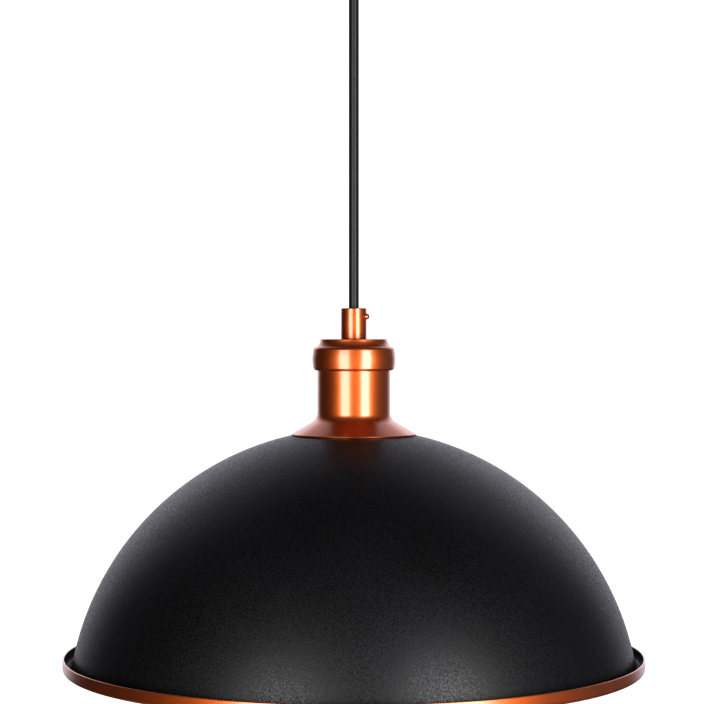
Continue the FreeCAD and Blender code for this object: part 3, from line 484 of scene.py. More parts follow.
# %% Spin the shade
sheet = 1.0
hole_rad = 19.6
lip_tall, lip_round, lip_rad = 7.2, 0.5, 159.5
gutter_in, gutter_out = 156.5, 157.5
curl_outer, curl_inner = 2.5, 1.5
centre_drop = 32.9
shade_foot = foot_of("shade")
dome_up = shade_foot + lip_tall - centre_drop
gutter_up = shade_foot + curl_outer
dome_rad = math.hypot(gutter_in, gutter_up - dome_up) - curl_inner
bend_start = math.degrees(math.atan2(gutter_up - dome_up, gutter_in))
hole_in = math.degrees(math.acos(hole_rad / (dome_rad - sheet)))
hole_out = math.degrees(math.acos(hole_rad / dome_rad))
lip_up = shade_foot + lip_tall - lip_round
shade = spun("shade_dome", [
    *arc(0, dome_up, dome_rad - sheet, hole_in, bend_start, 70),
    *arc(gutter_in, gutter_up, curl_outer, 180 + bend_start, 270, 8)[1:],
    *arc(gutter_out, gutter_up, curl_outer, 270, 360, 8),
    *arc(lip_rad, lip_up, lip_round, 0, 180, 8),
    *arc(gutter_out, gutter_up, curl_inner, 360, 270, 8),
    *arc(gutter_in, gutter_up, curl_inner, 270, 180 + bend_start, 8),
    *arc(0, dome_up, dome_rad, bend_start, hole_out, 70)[1:],
], steps=180, smooth=50)
print("dome radius", round(dome_rad, 2))

# %% [markdown]
# The shade is painted twice. Black covers the outside and the inside of the gutter, and copper
# covers the inside of the dome, the underside of the curl and the lip's outer face. The paint
# edge runs along the lip, so the faces are sorted by which way they look and where they are.

# %% Paint the shade in two colours
shade.data.materials.append(black_coat)
shade.data.materials.append(copper)
curl_from = 153
gutter_to = 159.2
gutter_floor = 0.9
looks_up = 0.1
for face in shade.data.polygons:
    middle = face.center / MM
    across = math.hypot(middle.x, middle.y)
    outwards = (face.normal.x * middle.x + face.normal.y * middle.y) / across
    dome_inside = math.hypot(across, middle.z - dome_up) < dome_rad - sheet / 2
    curl_below = across > curl_from and middle.z < gutter_up and face.normal.z < looks_up
    lip_outside = across > lip_rad and outwards > 0
    lip_edge = across > lip_rad - sheet and middle.z > lip_up
    above_floor = middle.z > shade_foot + gutter_floor
    gutter_inside = across < gutter_to and above_floor and face.normal.z > looks_up
    copper_face = (dome_inside or curl_below or lip_outside or lip_edge) and not gutter_inside
    face.material_index = 1 if copper_face else 0
print("copper faces:", sum(face.material_index for face in shade.data.polygons))
settle(shade, "shade", "black_powder_coat")

# %% [markdown]
# ## The neck
# The neck is a copper tube that opens into a trumpet and stands on the dome. A real one is drawn
# from sheet, so the bend is round and the wall has one thickness. The section follows that: two
# arcs about one centre, and a lightly broken edge where it meets the shade.

# %% Spin the neck
neck_foot = foot_of("neck_shell")
neck_top = top_of("neck_shell")
neck_out, neck_in = 20.2, 19.4
flare_outer, flare_inner = 6.0, 6.8
flare_centre = (26.2, neck_foot + 12.731)
neck = spun("neck_trumpet", [
    (neck_out, neck_top),
    *arc(*flare_centre, flare_outer, 180, 240, 16),
    (34.42, neck_foot + 1.03),
    *arc(34.48, neck_foot + 0.82, 0.14, 60, -30, 4),
    (34.38, neck_foot + 0.12),
    (34.25, neck_foot),
    *arc(*flare_centre, flare_inner, 240, 180, 16),
    (neck_in, neck_top),
], steps=128, smooth=45)
settle(neck, "neck_shell", "copper")

# %% [markdown]
# ## The holder cap
# The cap covers the lampholder. It has a flat top, a small hollow curve down to a waist, and a
# bulged ring that laps over the neck. Each of these is one arc of the section, so the highlights
# break where they do on the real cap.

# %% Spin the holder cap
cap_foot = foot_of("holder_cap")
cap_top = foot_of("lamp_grip")
cap_sheet = 0.9
nipple_hole = 5.1
hem = (20.8, cap_foot + 1.8)
shoulder = (20.2, cap_foot + 11.0)
ring_rad, ring_bulge = 22.6, 0.45
belly, belly_half = 23.74, 4.6
belly_turn = math.degrees(math.asin(belly_half / belly))
cove_rad, cove_run, cove_rise = 8.0, 1.7, 3.65
cove_chord = math.hypot(cove_run, cove_rise)
cove_turn = math.degrees(math.asin(cove_chord / 2 / cove_rad))
cove_lean = math.degrees(math.atan2(cove_rise, -cove_run))
cove_mid = (19.35, cap_foot + 15.225)
cove_reach = math.sqrt(cove_rad ** 2 - (cove_chord / 2) ** 2)
cove_side = math.radians(cove_lean - 90)
cove_centre = (
    cove_mid[0] + cove_reach * math.cos(cove_side),
    cove_mid[1] + cove_reach * math.sin(cove_side),
)
cap = spun("holder_cap_ring", [
    *arc(*hem, 1.8, 270, 360, 8),
    *arc(ring_rad + ring_bulge - belly, cap_foot + 6.4, belly, -belly_turn, belly_turn, 10)[1:-1],
    *arc(*shoulder, 2.4, 0, 90, 10),
    *arc(*cove_centre, cove_rad, cove_lean + 90 + cove_turn, cove_lean + 90 - cove_turn, 10)[1:],
    *arc(18.15, cap_top - 0.35, 0.35, 0, 90, 4)[1:],
    (nipple_hole, cap_top),
    (nipple_hole, cap_top - cap_sheet),
    (17.6, cap_top - cap_sheet),
    (19.3, cap_foot + 13.4),
    (19.3, cap_foot + 12.5),
    *arc(*shoulder, 2.4 - cap_sheet, 90, 0, 6),
    *arc(*hem, 1.8 - cap_sheet, 360, 270, 6),
    (20.3, cap_foot + cap_sheet),
    (20.3, cap_foot),
], steps=128, smooth=30)
settle(cap, "holder_cap", "copper")

# %% [markdown]
# ## The cord grips
# A grip is a small turned collar with the cord through it. One stands on the holder cap and one
# hangs under the canopy. They are the same piece, so it is modelled once, copied with its own
# mesh and turned over.

# %% Spin a grip
def rod(radius, long, at, turned=(0, math.radians(90), 0)):
    """A cylinder through a place, lying along X unless it is turned, to cut a hole with."""
    clear_selection()
    bpy.ops.mesh.primitive_cylinder_add(
        vertices=32, radius=radius * MM, depth=long * MM,
        location=[value * MM for value in at], rotation=turned,
    )
    return bpy.context.object


def carve(piece, cutter):
    """Cut one piece with another, which is then thrown away."""
    make_active(piece)
    bpy.ops.object.modifier_add(type="BOOLEAN")
    modifier = piece.modifiers[-1]
    modifier.operation = "DIFFERENCE"
    modifier.solver = "EXACT"
    modifier.object = cutter
    bpy.ops.object.modifier_apply(modifier=modifier.name)
    bpy.data.objects.remove(cutter)


def fix_place(piece):
    """Put the piece's place and turn into its mesh."""
    make_active(piece)
    bpy.ops.object.transform_apply(location=True, rotation=True, scale=True)


def copy_of(piece, name):
    """A copy with a mesh of its own."""
    make_active(piece)
    bpy.ops.object.duplicate()
    twin = bpy.context.object
    twin.name = twin.data.name = name
    return twin


grip_screw_turn = math.radians(-20)
grip_tall = 17
grip_rad = 7.1
grip_edge = 0.4
thread_bore, thread_deep = 5.05, 9.0
mouth_bore, mouth_round = 3.284, 0.3
grip = spun("lamp_cord_grip", [
    (thread_bore, 0),
    *arc(grip_rad - grip_edge, grip_edge, grip_edge, 270, 360, 4),
    *arc(grip_rad - grip_edge, grip_tall - grip_edge, grip_edge, 0, 90, 4),
    *arc(mouth_bore + mouth_round, grip_tall - mouth_round, mouth_round, 90, 180, 3),
    (mouth_bore, thread_deep),
    (thread_bore, thread_deep),
], steps=96)
hole_at = (5 * math.cos(grip_screw_turn), 5 * math.sin(grip_screw_turn), 12.4)
carve(grip, rod(1.3, 8, hole_at, (0, math.radians(90), grip_screw_turn)))
tidy_shell(grip, 30)
canopy_grip = copy_of(grip, "canopy_cord_grip")
canopy_grip.rotation_euler = (math.radians(180), 0, 2 * grip_screw_turn)
canopy_grip.location = (0, 0, foot_of("canopy_grip") * MM + grip_tall * MM)
fix_place(canopy_grip)
grip.location = (0, 0, foot_of("lamp_grip") * MM)
fix_place(grip)
settle(grip, "lamp_grip", "copper")
settle(canopy_grip, "canopy_grip", "copper")

# %% [markdown]
# ## The round-headed screws
# Each grip has a small screw that bites the cord, and two larger ones hold the canopy. A round
# head has a cross-shaped recess. The head is spun, and the cross is cut out with two crossed
# bars that taper inwards. The bars stay within the head, or nothing of the dome would be left.

# %% Model a screw
def cross_screw(name, shank, head, long, tall):
    """A round-headed screw with a cross recess, pointing its head along its own +Z."""
    crown = tall * 0.6
    dome = (head * head + crown * crown) / (2 * crown)
    rise = math.degrees(math.asin(head / dome))
    piece = spun(name, [
        (0, -long),
        (shank * 0.7, -long),
        (shank, -long + shank * 0.5),
        (shank, 0),
        (head - 0.1, 0),
        (head, 0.1),
        (head, tall * 0.4),
        *arc(0, tall - dome, dome, 90 - rise, 90, 8)[1:-1],
        (0, tall),
    ], steps=48, closed=False)
    for stretch in ((1.4, 0.34, 1), (0.34, 1.4, 1)):
        clear_selection()
        bpy.ops.mesh.primitive_cone_add(
            vertices=4, radius1=head * 0.25 * MM, radius2=head * 0.50 * MM, depth=tall * 0.45 * MM,
            location=(0, 0, tall * 0.83 * MM), rotation=(0, 0, math.radians(45)),
        )
        bar = bpy.context.object
        bpy.ops.object.transform_apply(location=False, rotation=True, scale=False)
        bar.scale = stretch
        fix_place(bar)
        carve(piece, bar)
    tidy_shell(piece, 30)
    return piece


def aim(piece, turn, at):
    """Point a piece's own +Z away from the axis and put it in its place."""
    piece.rotation_euler = (0, math.radians(90), turn)
    piece.location = Vector(at) * MM
    fix_place(piece)


grip_screw = cross_screw("lamp_grip_screw_head", shank=1.2, head=1.65, long=4.6, tall=2.0)
canopy_grip_screw = copy_of(grip_screw, "canopy_grip_screw_head")
screw_out = (grip_rad * math.cos(grip_screw_turn), grip_rad * math.sin(grip_screw_turn))
lamp_screw_up, canopy_screw_up = -256.6, -47.4
aim(grip_screw, grip_screw_turn, (*screw_out, lamp_screw_up))
aim(canopy_grip_screw, grip_screw_turn, (*screw_out, canopy_screw_up))
settle(grip_screw, "lamp_grip_screw", "copper")
settle(canopy_grip_screw, "canopy_grip_screw", "copper")

# %% [markdown]
# ## The canopy
# The canopy is a drawn steel cup with a rounded lower edge and a small turned-in top edge. It
# hangs by two side screws, so it has a hole on each side.

# %% Spin the canopy
canopy_floor = -35.0
canopy_rad = 50
canopy_bend = (45, -30)
canopy_bend_rad = 5.0
canopy = spun("canopy_cup", [
    (nipple_hole, canopy_floor),
    *arc(*canopy_bend, canopy_bend_rad, 270, 360, 14),
    *arc(49.6, -0.4, 0.4, 0, 90, 4),
    *arc(49.3, -0.3, 0.3, 90, 180, 3),
    *arc(*canopy_bend, canopy_bend_rad - sheet, 360, 270, 12),
    (nipple_hole, canopy_floor + sheet),
], steps=128, smooth=40)
side_screw_up = -9
through_all = 110
carve(canopy, rod(1.75, through_all, (0, 0, side_screw_up)))
tidy_shell(canopy, 40)
settle(canopy, "canopy", "black_powder_coat")

# %% [markdown]
# The side screws go through those holes into the bracket. They are the grip screw's shape in a
# larger size, so the same helper makes one, and a copy faces the other way.

# %% Fit the canopy's side screws
right_screw = cross_screw("canopy_right_screw", shank=1.45, head=3.2, long=6.0, tall=2.0)
left_screw = copy_of(right_screw, "canopy_left_screw")
aim(right_screw, 0, (canopy_rad, 0, side_screw_up))
aim(left_screw, math.radians(180), (-canopy_rad, 0, side_screw_up))
settle(right_screw, "canopy_side_screws", "black_powder_coat")
settle(left_screw, "canopy_side_screws", "black_powder_coat")

# %% [markdown]
# ## The ceiling bracket
# The bracket is a steel strap with its ends bent down and two long slots for the ceiling screws.
# Its side view is drawn with round bends and pulled out to its width. The slots and holes are
# then cut, and a narrow bevel breaks the edges as stamping does.

# %% Bend the bracket
def pull_out(piece, by):
    """Fill the drawn outline and extrude it into a bar."""
    bpy.ops.mesh.edge_face_add()
    bpy.ops.mesh.extrude_region_move(TRANSFORM_OT_translate={"value": Vector(by) * MM})
    bpy.ops.object.mode_set(mode="OBJECT")
    tidy_shell(piece)


def shift(piece, by):
    """Slide a piece, with the move put into its mesh."""
    piece.location = Vector(by) * MM
    fix_place(piece)


def soften(piece, width):
    """Break the sharp edges with a narrow bevel."""
    sharp = math.radians(40)
    make_active(piece)
    bpy.ops.object.modifier_add(type="BEVEL")
    bevel = piece.modifiers[-1]
    bevel.width = width * MM
    bevel.segments = 2
    bevel.limit_method = "ANGLE"
    bevel.angle_limit = sharp
    bpy.ops.object.modifier_apply(modifier=bevel.name)
    bpy.ops.object.shade_smooth_by_angle(angle=sharp)


strap_half, strap_wide, strap_sheet = 48, 16, 1.5
strap_foot = -14
strap_bend = 2.0
bend_out = strap_half - strap_bend
bracket = draw_section("ceiling_strap", [
    (-strap_half, strap_foot),
    *arc(-bend_out, -strap_bend, strap_bend, 180, 90, 6),
    *arc(bend_out, -strap_bend, strap_bend, 90, 0, 6),
    (strap_half, strap_foot),
    (strap_half - strap_sheet, strap_foot),
    *arc(bend_out, -strap_bend, strap_bend - strap_sheet, 0, 90, 4),
    *arc(-bend_out, -strap_bend, strap_bend - strap_sheet, 90, 180, 4),
    (strap_sheet - strap_half, strap_foot),
])
pull_out(bracket, (0, strap_wide, 0))
shift(bracket, (0, -strap_wide / 2, 0))
slot_out, slot_half, slot_rad = 30, 3.75, 2.25
for side in (-1, 1):
    slot_cutter = draw_section("slot_cutter", [
        *arc(slot_out * side + slot_half, 0, slot_rad, -90, 90, 12),
        *arc(slot_out * side - slot_half, 0, slot_rad, 90, 270, 12),
    ], plane="XY")
    pull_out(slot_cutter, (0, 0, 4))
    shift(slot_cutter, (0, 0, -3))
    carve(bracket, slot_cutter)
carve(bracket, rod(1.5, through_all, (0, 0, side_screw_up)))
soften(bracket, 0.2)
settle(bracket, "ceiling_bracket", "zinc_steel")

# %% [markdown]
# ## The terminal block
# Under the strap hangs a white nylon block with three brass tubes through it. A real block is
# moulded as three towers joined by thin webs, so its outline is drawn that way, with a round
# opening for each tube.

# %% Mould the terminal block
tower_gap = 10
web_top, web_foot, web_end = -4.5, -9.5, 15
block_deep = 15
block_outline = []
for middle in (-tower_gap, 0, tower_gap):
    block_outline += [
        (middle - 4.6, web_foot),
        *arc(middle - 3.1, -12.0, 1.5, 180, 270, 4),
        *arc(middle + 3.1, -12.0, 1.5, 270, 360, 4),
        (middle + 4.6, web_foot),
    ]
block_outline = [
    (-web_end, web_top), (-web_end, web_foot), *block_outline,
    (web_end, web_foot), (web_end, web_top),
]
for middle in (tower_gap, 0, -tower_gap):
    block_outline += [
        (middle + 4.4, web_top), (middle + 4.0, -1.5), (middle - 4.0, -1.5), (middle - 4.4, web_top)
    ]
block = draw_section("terminal_tower_block", block_outline)
pull_out(block, (0, block_deep, 0))
shift(block, (0, -block_deep / 2, 0))
for middle in (-tower_gap, 0, tower_gap):
    carve(block, rod(2.65, 20, (middle, 0, -7.5), (math.radians(90), 0, 0)))
soften(block, 0.3)
settle(block, "terminal_block", "white_nylon")

# %% [markdown]
# ## Screw threads
# A thread is a tooth carried round and up. The Screw modifier does that: it turns a small outline
# about the axis while it climbs by one pitch a turn. A solid thread is a closed tooth laid on a
# core. A rolled thread, as on a bulb's cap, is a wave with the thickness of the sheet.

# %% Helpers for threads
def climb(piece, pitch, turns, steps=48):
    """Carry a drawn outline round and up."""
    bpy.ops.object.mode_set(mode="OBJECT")
    bpy.ops.object.modifier_add(type="SCREW")
    screw = piece.modifiers[-1]
    screw.angle = math.tau
    screw.screw_offset = pitch * MM
    screw.iterations = turns
    screw.steps = screw.render_steps = steps
    screw.use_merge_vertices = True
    screw.merge_threshold = MM / 500
    bpy.ops.object.modifier_apply(modifier=screw.name)


def thread_ridge(name, root, crest, pitch, low, high):
    """A solid thread between two levels."""
    start = low + 0.4 * pitch
    ridge = draw_section(name, [
        (root - 0.2, start - 0.38 * pitch),
        (crest, start - 0.12 * pitch),
        (crest, start + 0.12 * pitch),
        (root - 0.2, start + 0.38 * pitch),
    ])
    climb(ridge, pitch, int((high - low - 0.8 * pitch) / pitch))
    bpy.ops.object.mode_set(mode="EDIT")
    bpy.ops.mesh.select_all(action="SELECT")
    bpy.ops.mesh.fill_holes(sides=0)
    bpy.ops.object.mode_set(mode="OBJECT")
    return tidy_shell(ridge, 30)


def rolled_thread(name, crest, root, pitch, low, high, sheet):
    """A wavy sleeve of thin sheet between two levels."""
    middle = (crest + root) / 2
    swing = (crest - root) / 2
    corners = 12
    wave = [
        (middle + swing * math.cos(math.tau * step / corners), low - pitch + pitch * step / corners)
        for step in range(corners + 1)
    ]
    sleeve = draw_section(name, wave, closed=False)
    climb(sleeve, pitch, math.ceil((high - low) / pitch) + 1, steps=64)
    bpy.ops.object.mode_set(mode="EDIT")
    for level, upper in ((low, False), (high, True)):
        bpy.ops.mesh.select_all(action="SELECT")
        bpy.ops.mesh.bisect(
            plane_co=(0, 0, level * MM), plane_no=(0, 0, 1), clear_outer=upper,
            clear_inner=not upper,
        )
    bpy.ops.object.mode_set(mode="OBJECT")
    tidy_shell(sleeve, 60)
    bpy.ops.object.modifier_add(type="SOLIDIFY")
    wall = sleeve.modifiers[-1]
    wall.thickness = sheet * MM
    wall.offset = -1
    bpy.ops.object.modifier_apply(modifier=wall.name)
    bpy.ops.object.shade_smooth_by_angle(angle=math.radians(60))
    return sleeve


def joined(base, *others):
    """Make several meshes one piece."""
    make_active(base)
    for other in others:
        other.select_set(True)
    bpy.ops.object.join()
    return base


# %% [markdown]
# ## The lampholder
# The lampholder is glazed porcelain with a thread outside for the shade ring and a threaded brass
# shell inside for the bulb. The body is spun with softly rounded edges, and its thread is laid on.

# %% Turn the porcelain body
body_foot = foot_of("socket_body")
body_top = top_of("socket_body")
mouth_rad, mouth_deep = 13.85, 27
thread_root, thread_crest = 18.5, 19.3
thread_start, thread_end = body_foot + 0.8, body_foot + 20
body = spun("porcelain_holder", [
    (0, body_foot + mouth_deep),
    (mouth_rad, body_foot + mouth_deep),
    (mouth_rad, body_foot + 0.8),
    *arc(14.65, body_foot + 0.8, 0.8, 180, 270, 4)[1:],
    *arc(17.9, body_foot + 0.6, 0.6, 270, 360, 4),
    (thread_root, thread_end),
    (18.8, body_foot + 20.3),
    *arc(18.0, body_top - 0.8, 0.8, 0, 90, 4),
    (0, body_top),
], closed=False)
ridge = thread_ridge(
    "holder_thread", thread_root, thread_crest, pitch=3.0, low=thread_start, high=thread_end
)
body = joined(body, ridge)
settle(body, "socket_body", "porcelain")

# %% [markdown]
# The shell inside the holder is rolled from brass sheet, so it is a wave with a wall and not a
# solid thread. It has the pitch of the bulb's cap. A pressed floor joins it to the porcelain.

# %% Roll the brass shell
bulb_pitch = 3.629
shell_foot = foot_of("screw_shell")
shell_top = top_of("screw_shell")
shell = rolled_thread(
    "brass_screw_shell", crest=13.74, root=13.5, pitch=bulb_pitch,
    low=shell_foot, high=shell_top - 1, sheet=0.2,
)
shell_floor = spun("brass_shell_floor", [
    (5.0, shell_top - 0.5), (13.3, shell_top - 0.5), (13.3, shell_top - 1.2),
    (13.75, shell_top - 1.2), (13.75, shell_top), (5.0, shell_top),
])
shell = joined(shell, shell_floor)
settle(shell, "screw_shell", "brass")

# %% [markdown]
# ## The shade ring
# A ring screws onto the holder from below and holds the shade against the neck. Fingers turn it,
# so its rim has shallow scallops. They are cut with one small cylinder, copied round the rim.

# %% Turn the shade ring
def under_dome(across):
    """The level of the dome's inner face at a distance from the axis."""
    return dome_up + math.sqrt((dome_rad - sheet) ** 2 - across ** 2)


ring_foot = foot_of("shade_ring")
ring_bore, flange_in, flange_out = 19.4, 24.0, 28.0
ring = spun("shade_ring_nut", [
    (ring_bore, ring_foot + 0.4),
    (19.8, ring_foot),
    *arc(22.4, ring_foot + 0.6, 0.6, 270, 360, 4),
    (23.0, ring_foot + 3.9),
    (flange_in, ring_foot + 4.06),
    *arc(27.5, ring_foot + 4.56, 0.5, 270, 360, 4),
    (flange_out, under_dome(flange_out)),
    (flange_in, under_dome(flange_in)),
    (ring_bore, under_dome(ring_bore)),
], steps=96)
clear_selection()
scallop_count, scallop_rad, scallop_out = 18, 2.4, 29.6 * MM
scallops = []
for number in range(scallop_count):
    turn = math.tau * number / scallop_count
    bpy.ops.mesh.primitive_cylinder_add(
        vertices=24, radius=scallop_rad * MM, depth=20 * MM,
        location=(scallop_out * math.cos(turn), scallop_out * math.sin(turn), (ring_foot + 5) * MM),
    )
    scallops.append(bpy.context.object)
carve(ring, joined(*scallops))
soften(ring, 0.25)
settle(ring, "shade_ring", "black_phenolic")

# %% [markdown]
# ## The bulb
# The bulb is a clear globe on a screw cap, with four straight filaments round a glass stem. The
# glass is one spun wall, thin all over, with a soft shoulder where the globe runs into the neck.

# %% Blow the bulb's glass
globe_rad, glass_wall = 30, 0.8
globe_up = foot_of("bulb_glass") + globe_rad
glass_neck = 12.65
cone = 21.2
lean = math.radians(cone)
curve_rad = 20
curve_out = glass_neck + curve_rad
edge_out = glass_neck + curve_rad * (1 - math.cos(lean))
edge_up = globe_up + (globe_rad - edge_out * math.cos(lean)) / math.sin(lean)
shoulder_up = edge_up + curve_rad * math.sin(lean)
glass = spun("bulb_globe", [
    *arc(0, globe_up, globe_rad, -90, cone, 48),
    *arc(curve_out, shoulder_up, curve_rad, 180 + cone, 180, 10),
    *arc(curve_out, shoulder_up, curve_rad + glass_wall, 180, 180 + cone, 10),
    *arc(0, globe_up, globe_rad - glass_wall, cone, -90, 48),
], steps=96, closed=False, smooth=60)
settle(glass, "bulb_glass", "clear_glass")

# %% [markdown]
# The stem is the glass foot that carries the wires. It is melted to the neck, so it widens upwards
# from a narrow rod in soft steps. It could be a plain rod, but its steps show through clear glass.

# %% Press the stem
stem_foot = foot_of("bulb_stem")
stem_top = top_of("bulb_stem")
stem = spun("bulb_glass_stem", [
    (0, stem_foot),
    *arc(0, stem_foot + 1.5, 1.5, -70, 0, 4),
    (1.5, stem_foot + 11.6),
    (2.2, stem_foot + 13.0),
    (3.2, stem_foot + 14.4),
    (3.5, stem_foot + 18.0),
    (4.6, stem_foot + 20.4),
    (7.2, stem_foot + 22.8),
    (10.4, stem_foot + 24.4),
    (11.8, stem_top - 0.8),
    (11.8, stem_top),
    (0, stem_top),
], steps=64, closed=False, smooth=60)
settle(stem, "bulb_stem", "clear_glass")

# %% [markdown]
# A filament here is a thin coated stick with a bare metal pin at each end. One is spun, and three
# copies are slid to their places in a ring round the stem.

# %% Coat the four filaments
filament_ring = 9
filament_foot = foot_of("bulb_filaments")
filament = spun("bulb_filament_1", [
    (0, filament_foot),
    (0.45, filament_foot),
    (0.45, filament_foot + 1.4),
    *arc(0.5, filament_foot + 1.8, 0.4, 270, 360, 3),
    *arc(0.5, filament_foot + 34.2, 0.4, 0, 90, 3),
    (0.45, filament_foot + 34.6),
    (0.45, filament_foot + 36),
    (0, filament_foot + 36),
], steps=24, closed=False)
filaments = [filament] + [copy_of(filament, f"bulb_filament_{number}") for number in (2, 3, 4)]
for number, piece in enumerate(filaments):
    turn = math.radians(45 + 90 * number)
    shift(piece, (filament_ring * math.cos(turn), filament_ring * math.sin(turn), 0))
    settle(piece, "bulb_filaments", "filament")

# %% [markdown]
# The cap is rolled from thin nickel-plated sheet. Its thread is a deeper wave than the shell's, and
# a crown above and a skirt below close it to the insulator and to the glass.

# %% Roll the bulb's cap
bulb_foot = foot_of("bulb_screw_cap")
bulb_top = top_of("bulb_screw_cap")
bulb_cap = rolled_thread(
    "bulb_screw_cap_sheet", crest=13.1, root=12.2, pitch=bulb_pitch,
    low=bulb_foot + 1.5, high=bulb_top - 2.4, sheet=0.3,
)
crown_hole = 7.6
cap_crown = spun("bulb_cap_crown", [
    (12.5, bulb_top - 3.0),
    (12.7, bulb_top - 2.2),
    (10.5, bulb_top),
    (crown_hole, bulb_top),
    (crown_hole, bulb_top - 0.4),
    (10.3, bulb_top - 0.4),
    (12.2, bulb_top - 2.4),
    (12.1, bulb_top - 3.0),
])
cap_skirt = spun("bulb_cap_skirt", [
    (12.7, bulb_foot), (13.1, bulb_foot), (13.1, bulb_foot + 1.2), (12.8, bulb_foot + 1.8),
    (12.4, bulb_foot + 1.8), (12.7, bulb_foot + 1.1),
])
bulb_cap = joined(bulb_cap, cap_crown, cap_skirt)
settle(bulb_cap, "bulb_screw_cap", "nickel")

# %% [markdown]
# ## Finishes for the engineering pieces that stay
# Nuts, washers, wires and small brass parts inside the canopy and the holder already have the
# right shape. They keep their meshes and only get their finish.

# %% Finish the inner pieces
replaced = {node for piece in bpy.data.objects for node in piece.get("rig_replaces", [])}
finish_of = {part["node"]: part["material_slot"] for part in frame["record"]["subparts"]}
for node, piece in frame["nodes"].items():
    if node not in replaced:
        for slot in piece.material_slots:
            slot.material = SLOTS[finish_of[node]]
print(len(frame["nodes"]) - len(replaced), "engineering pieces keep their shape")

# %% [markdown]
# ## Floor and light
# The lamp hangs in plain studio light. A pale floor lies well below it and shows only from above
# or from a distance. It could be lit by lamps of its own, but they would spill on the shade, so it
# glows evenly, and the lamp's gloss doesn't mirror it.

# %% Lay the floor
floor_up = -2.4
floor_rad = 10.5
clear_selection()
bpy.ops.mesh.primitive_circle_add(
    vertices=96, radius=floor_rad, fill_type="NGON", location=(0, 0, floor_up)
)
floor = bpy.context.object
floor.name = "studio_floor"
floor_paint, shader = new_finish(
    "studio_floor_paint", Roughness=0.8, Emission_Strength=0.55, Emission_Color=(0.97, 0.97, 1.0, 1)
)
tint(
    floor_paint, noise(floor_paint, 3), (0.86, 0.86, 0.86), (0.90, 0.90, 0.90),
    shader.inputs["Base Color"],
)
floor.data.materials.append(floor_paint)
floor.visible_glossy = False
print("floor at", floor_up)

# %% [markdown]
# Two tall soft boxes stand in front to the left and right, and draw the two bright stripes down
# the copper. A point light would make hard spots there, so each box is a large flat light.

# %% Stand the soft boxes
def soft_box(name, azimuth, elevation, distance, wide, tall, power):
    """A flat light that faces the lamp and can't itself be seen."""
    turn = math.radians(azimuth)
    rise = math.radians(elevation)
    aim_at = Vector((0, 0, -0.36))
    away = Vector((
        math.sin(turn) * math.cos(rise), -math.cos(turn) * math.cos(rise), math.sin(rise)
    ))
    bpy.ops.object.light_add(type="AREA", location=aim_at + away * distance)
    light = bpy.context.object
    light.name = name
    light.rotation_euler = away.to_track_quat("Z", "Y").to_euler()
    light.data.shape = "RECTANGLE"
    light.data.size = wide
    light.data.size_y = tall
    light.data.energy = power
    light.visible_camera = False
    print(name, tuple(round(value, 2) for value in light.location))


soft_box("left_soft_box", -27, -5, distance=2.0, wide=1.05, tall=1.85, power=31)
soft_box("right_soft_box", 36, -5, distance=2.0, wide=0.95, tall=1.85, power=36)

# %% [markdown]
# Soft glows in the surroundings do the rest. More lights would each need a size and a place, while
# a glow only needs a direction, so each is a patch of the world's own light. Four behind draw the
# shade's edges, two small ones in front lie as highlights on the dome, and others at the right,
# overhead, straight behind and below fill the copper. The surroundings look plain white to the
# camera all the same.

# %% Light the surroundings
world = bpy.data.worlds.new("studio")
bpy.context.scene.world = world
world.use_nodes = True
tree = world.node_tree
background = tree.nodes["Background"]
output = tree.nodes["World Output"]
direction = tree.nodes.new("ShaderNodeTexCoord").outputs["Generated"]


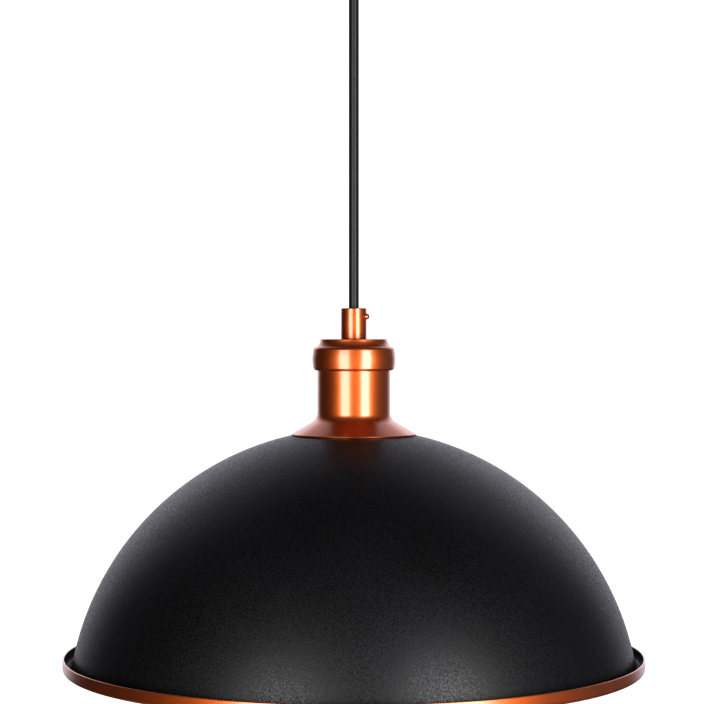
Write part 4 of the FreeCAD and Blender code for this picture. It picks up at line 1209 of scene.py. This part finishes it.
def glow(azimuth, elevation, inner, outer, strength):
    """A soft patch of light round one direction, fading between two angles from it."""
    turn = math.radians(azimuth)
    rise = math.radians(elevation)
    towards = (math.sin(turn) * math.cos(rise), -math.cos(turn) * math.cos(rise), math.sin(rise))
    dot = tree.nodes.new("ShaderNodeVectorMath")
    dot.operation = "DOT_PRODUCT"
    tree.links.new(direction, dot.inputs[0])
    dot.inputs[1].default_value = towards
    span = tree.nodes.new("ShaderNodeMapRange")
    span.interpolation_type = "SMOOTHSTEP"
    span.inputs["From Min"].default_value = math.cos(math.radians(outer))
    span.inputs["From Max"].default_value = math.cos(math.radians(inner))
    span.inputs["To Max"].default_value = strength
    tree.links.new(dot.outputs["Value"], span.inputs["Value"])
    return span.outputs["Result"]


# Each row is azimuth, elevation, inner angle, outer angle and strength.
GLOWS = (
    (-160, 8, 6, 30, 1.0),  # behind, low, left
    (160, 8, 6, 30, 1.0),  # behind, low, right
    (-152, 36, 6, 30, 0.55),  # behind, high, left
    (150, 36, 6, 30, 0.60),  # behind, high, right
    (100, -5, 20, 50, 0.09),  # the right side
    (34, 20, 2, 17, 1.8),  # the dome's right highlight
    (-24, 22, 2, 17, 0.4),  # the dome's left highlight
    (0, 60, 10, 50, 0.06),  # overhead
    (180, -4, 4, 15, 1.5),  # straight behind
    (0, -90, 15, 55, 0.5),  # below, for the copper inside
)
faintest = 0.025
brightness = None
for row in GLOWS:
    total = tree.nodes.new("ShaderNodeMath")
    total.operation = "ADD"
    total.inputs[0].default_value = faintest
    if brightness is not None:
        tree.links.new(brightness, total.inputs[0])
    tree.links.new(glow(*row), total.inputs[1])
    brightness = total.outputs[0]
background.inputs["Color"].default_value = (0.91, 0.90, 1.0, 1)
tree.links.new(brightness, background.inputs["Strength"])
white = tree.nodes.new("ShaderNodeBackground")
white.inputs["Color"].default_value = (1, 1, 1, 1)
chooser = tree.nodes.new("ShaderNodeMixShader")
seen_by = tree.nodes.new("ShaderNodeLightPath")
tree.links.new(seen_by.outputs["Is Camera Ray"], chooser.inputs["Fac"])
tree.links.new(background.outputs["Background"], chooser.inputs[1])
tree.links.new(white.outputs["Background"], chooser.inputs[2])
tree.links.new(chooser.outputs["Shader"], output.inputs["Surface"])
bpy.context.scene.view_settings.view_transform = "Standard"
bpy.context.scene.view_settings.look = "Medium High Contrast"
print(len(GLOWS), "glows")
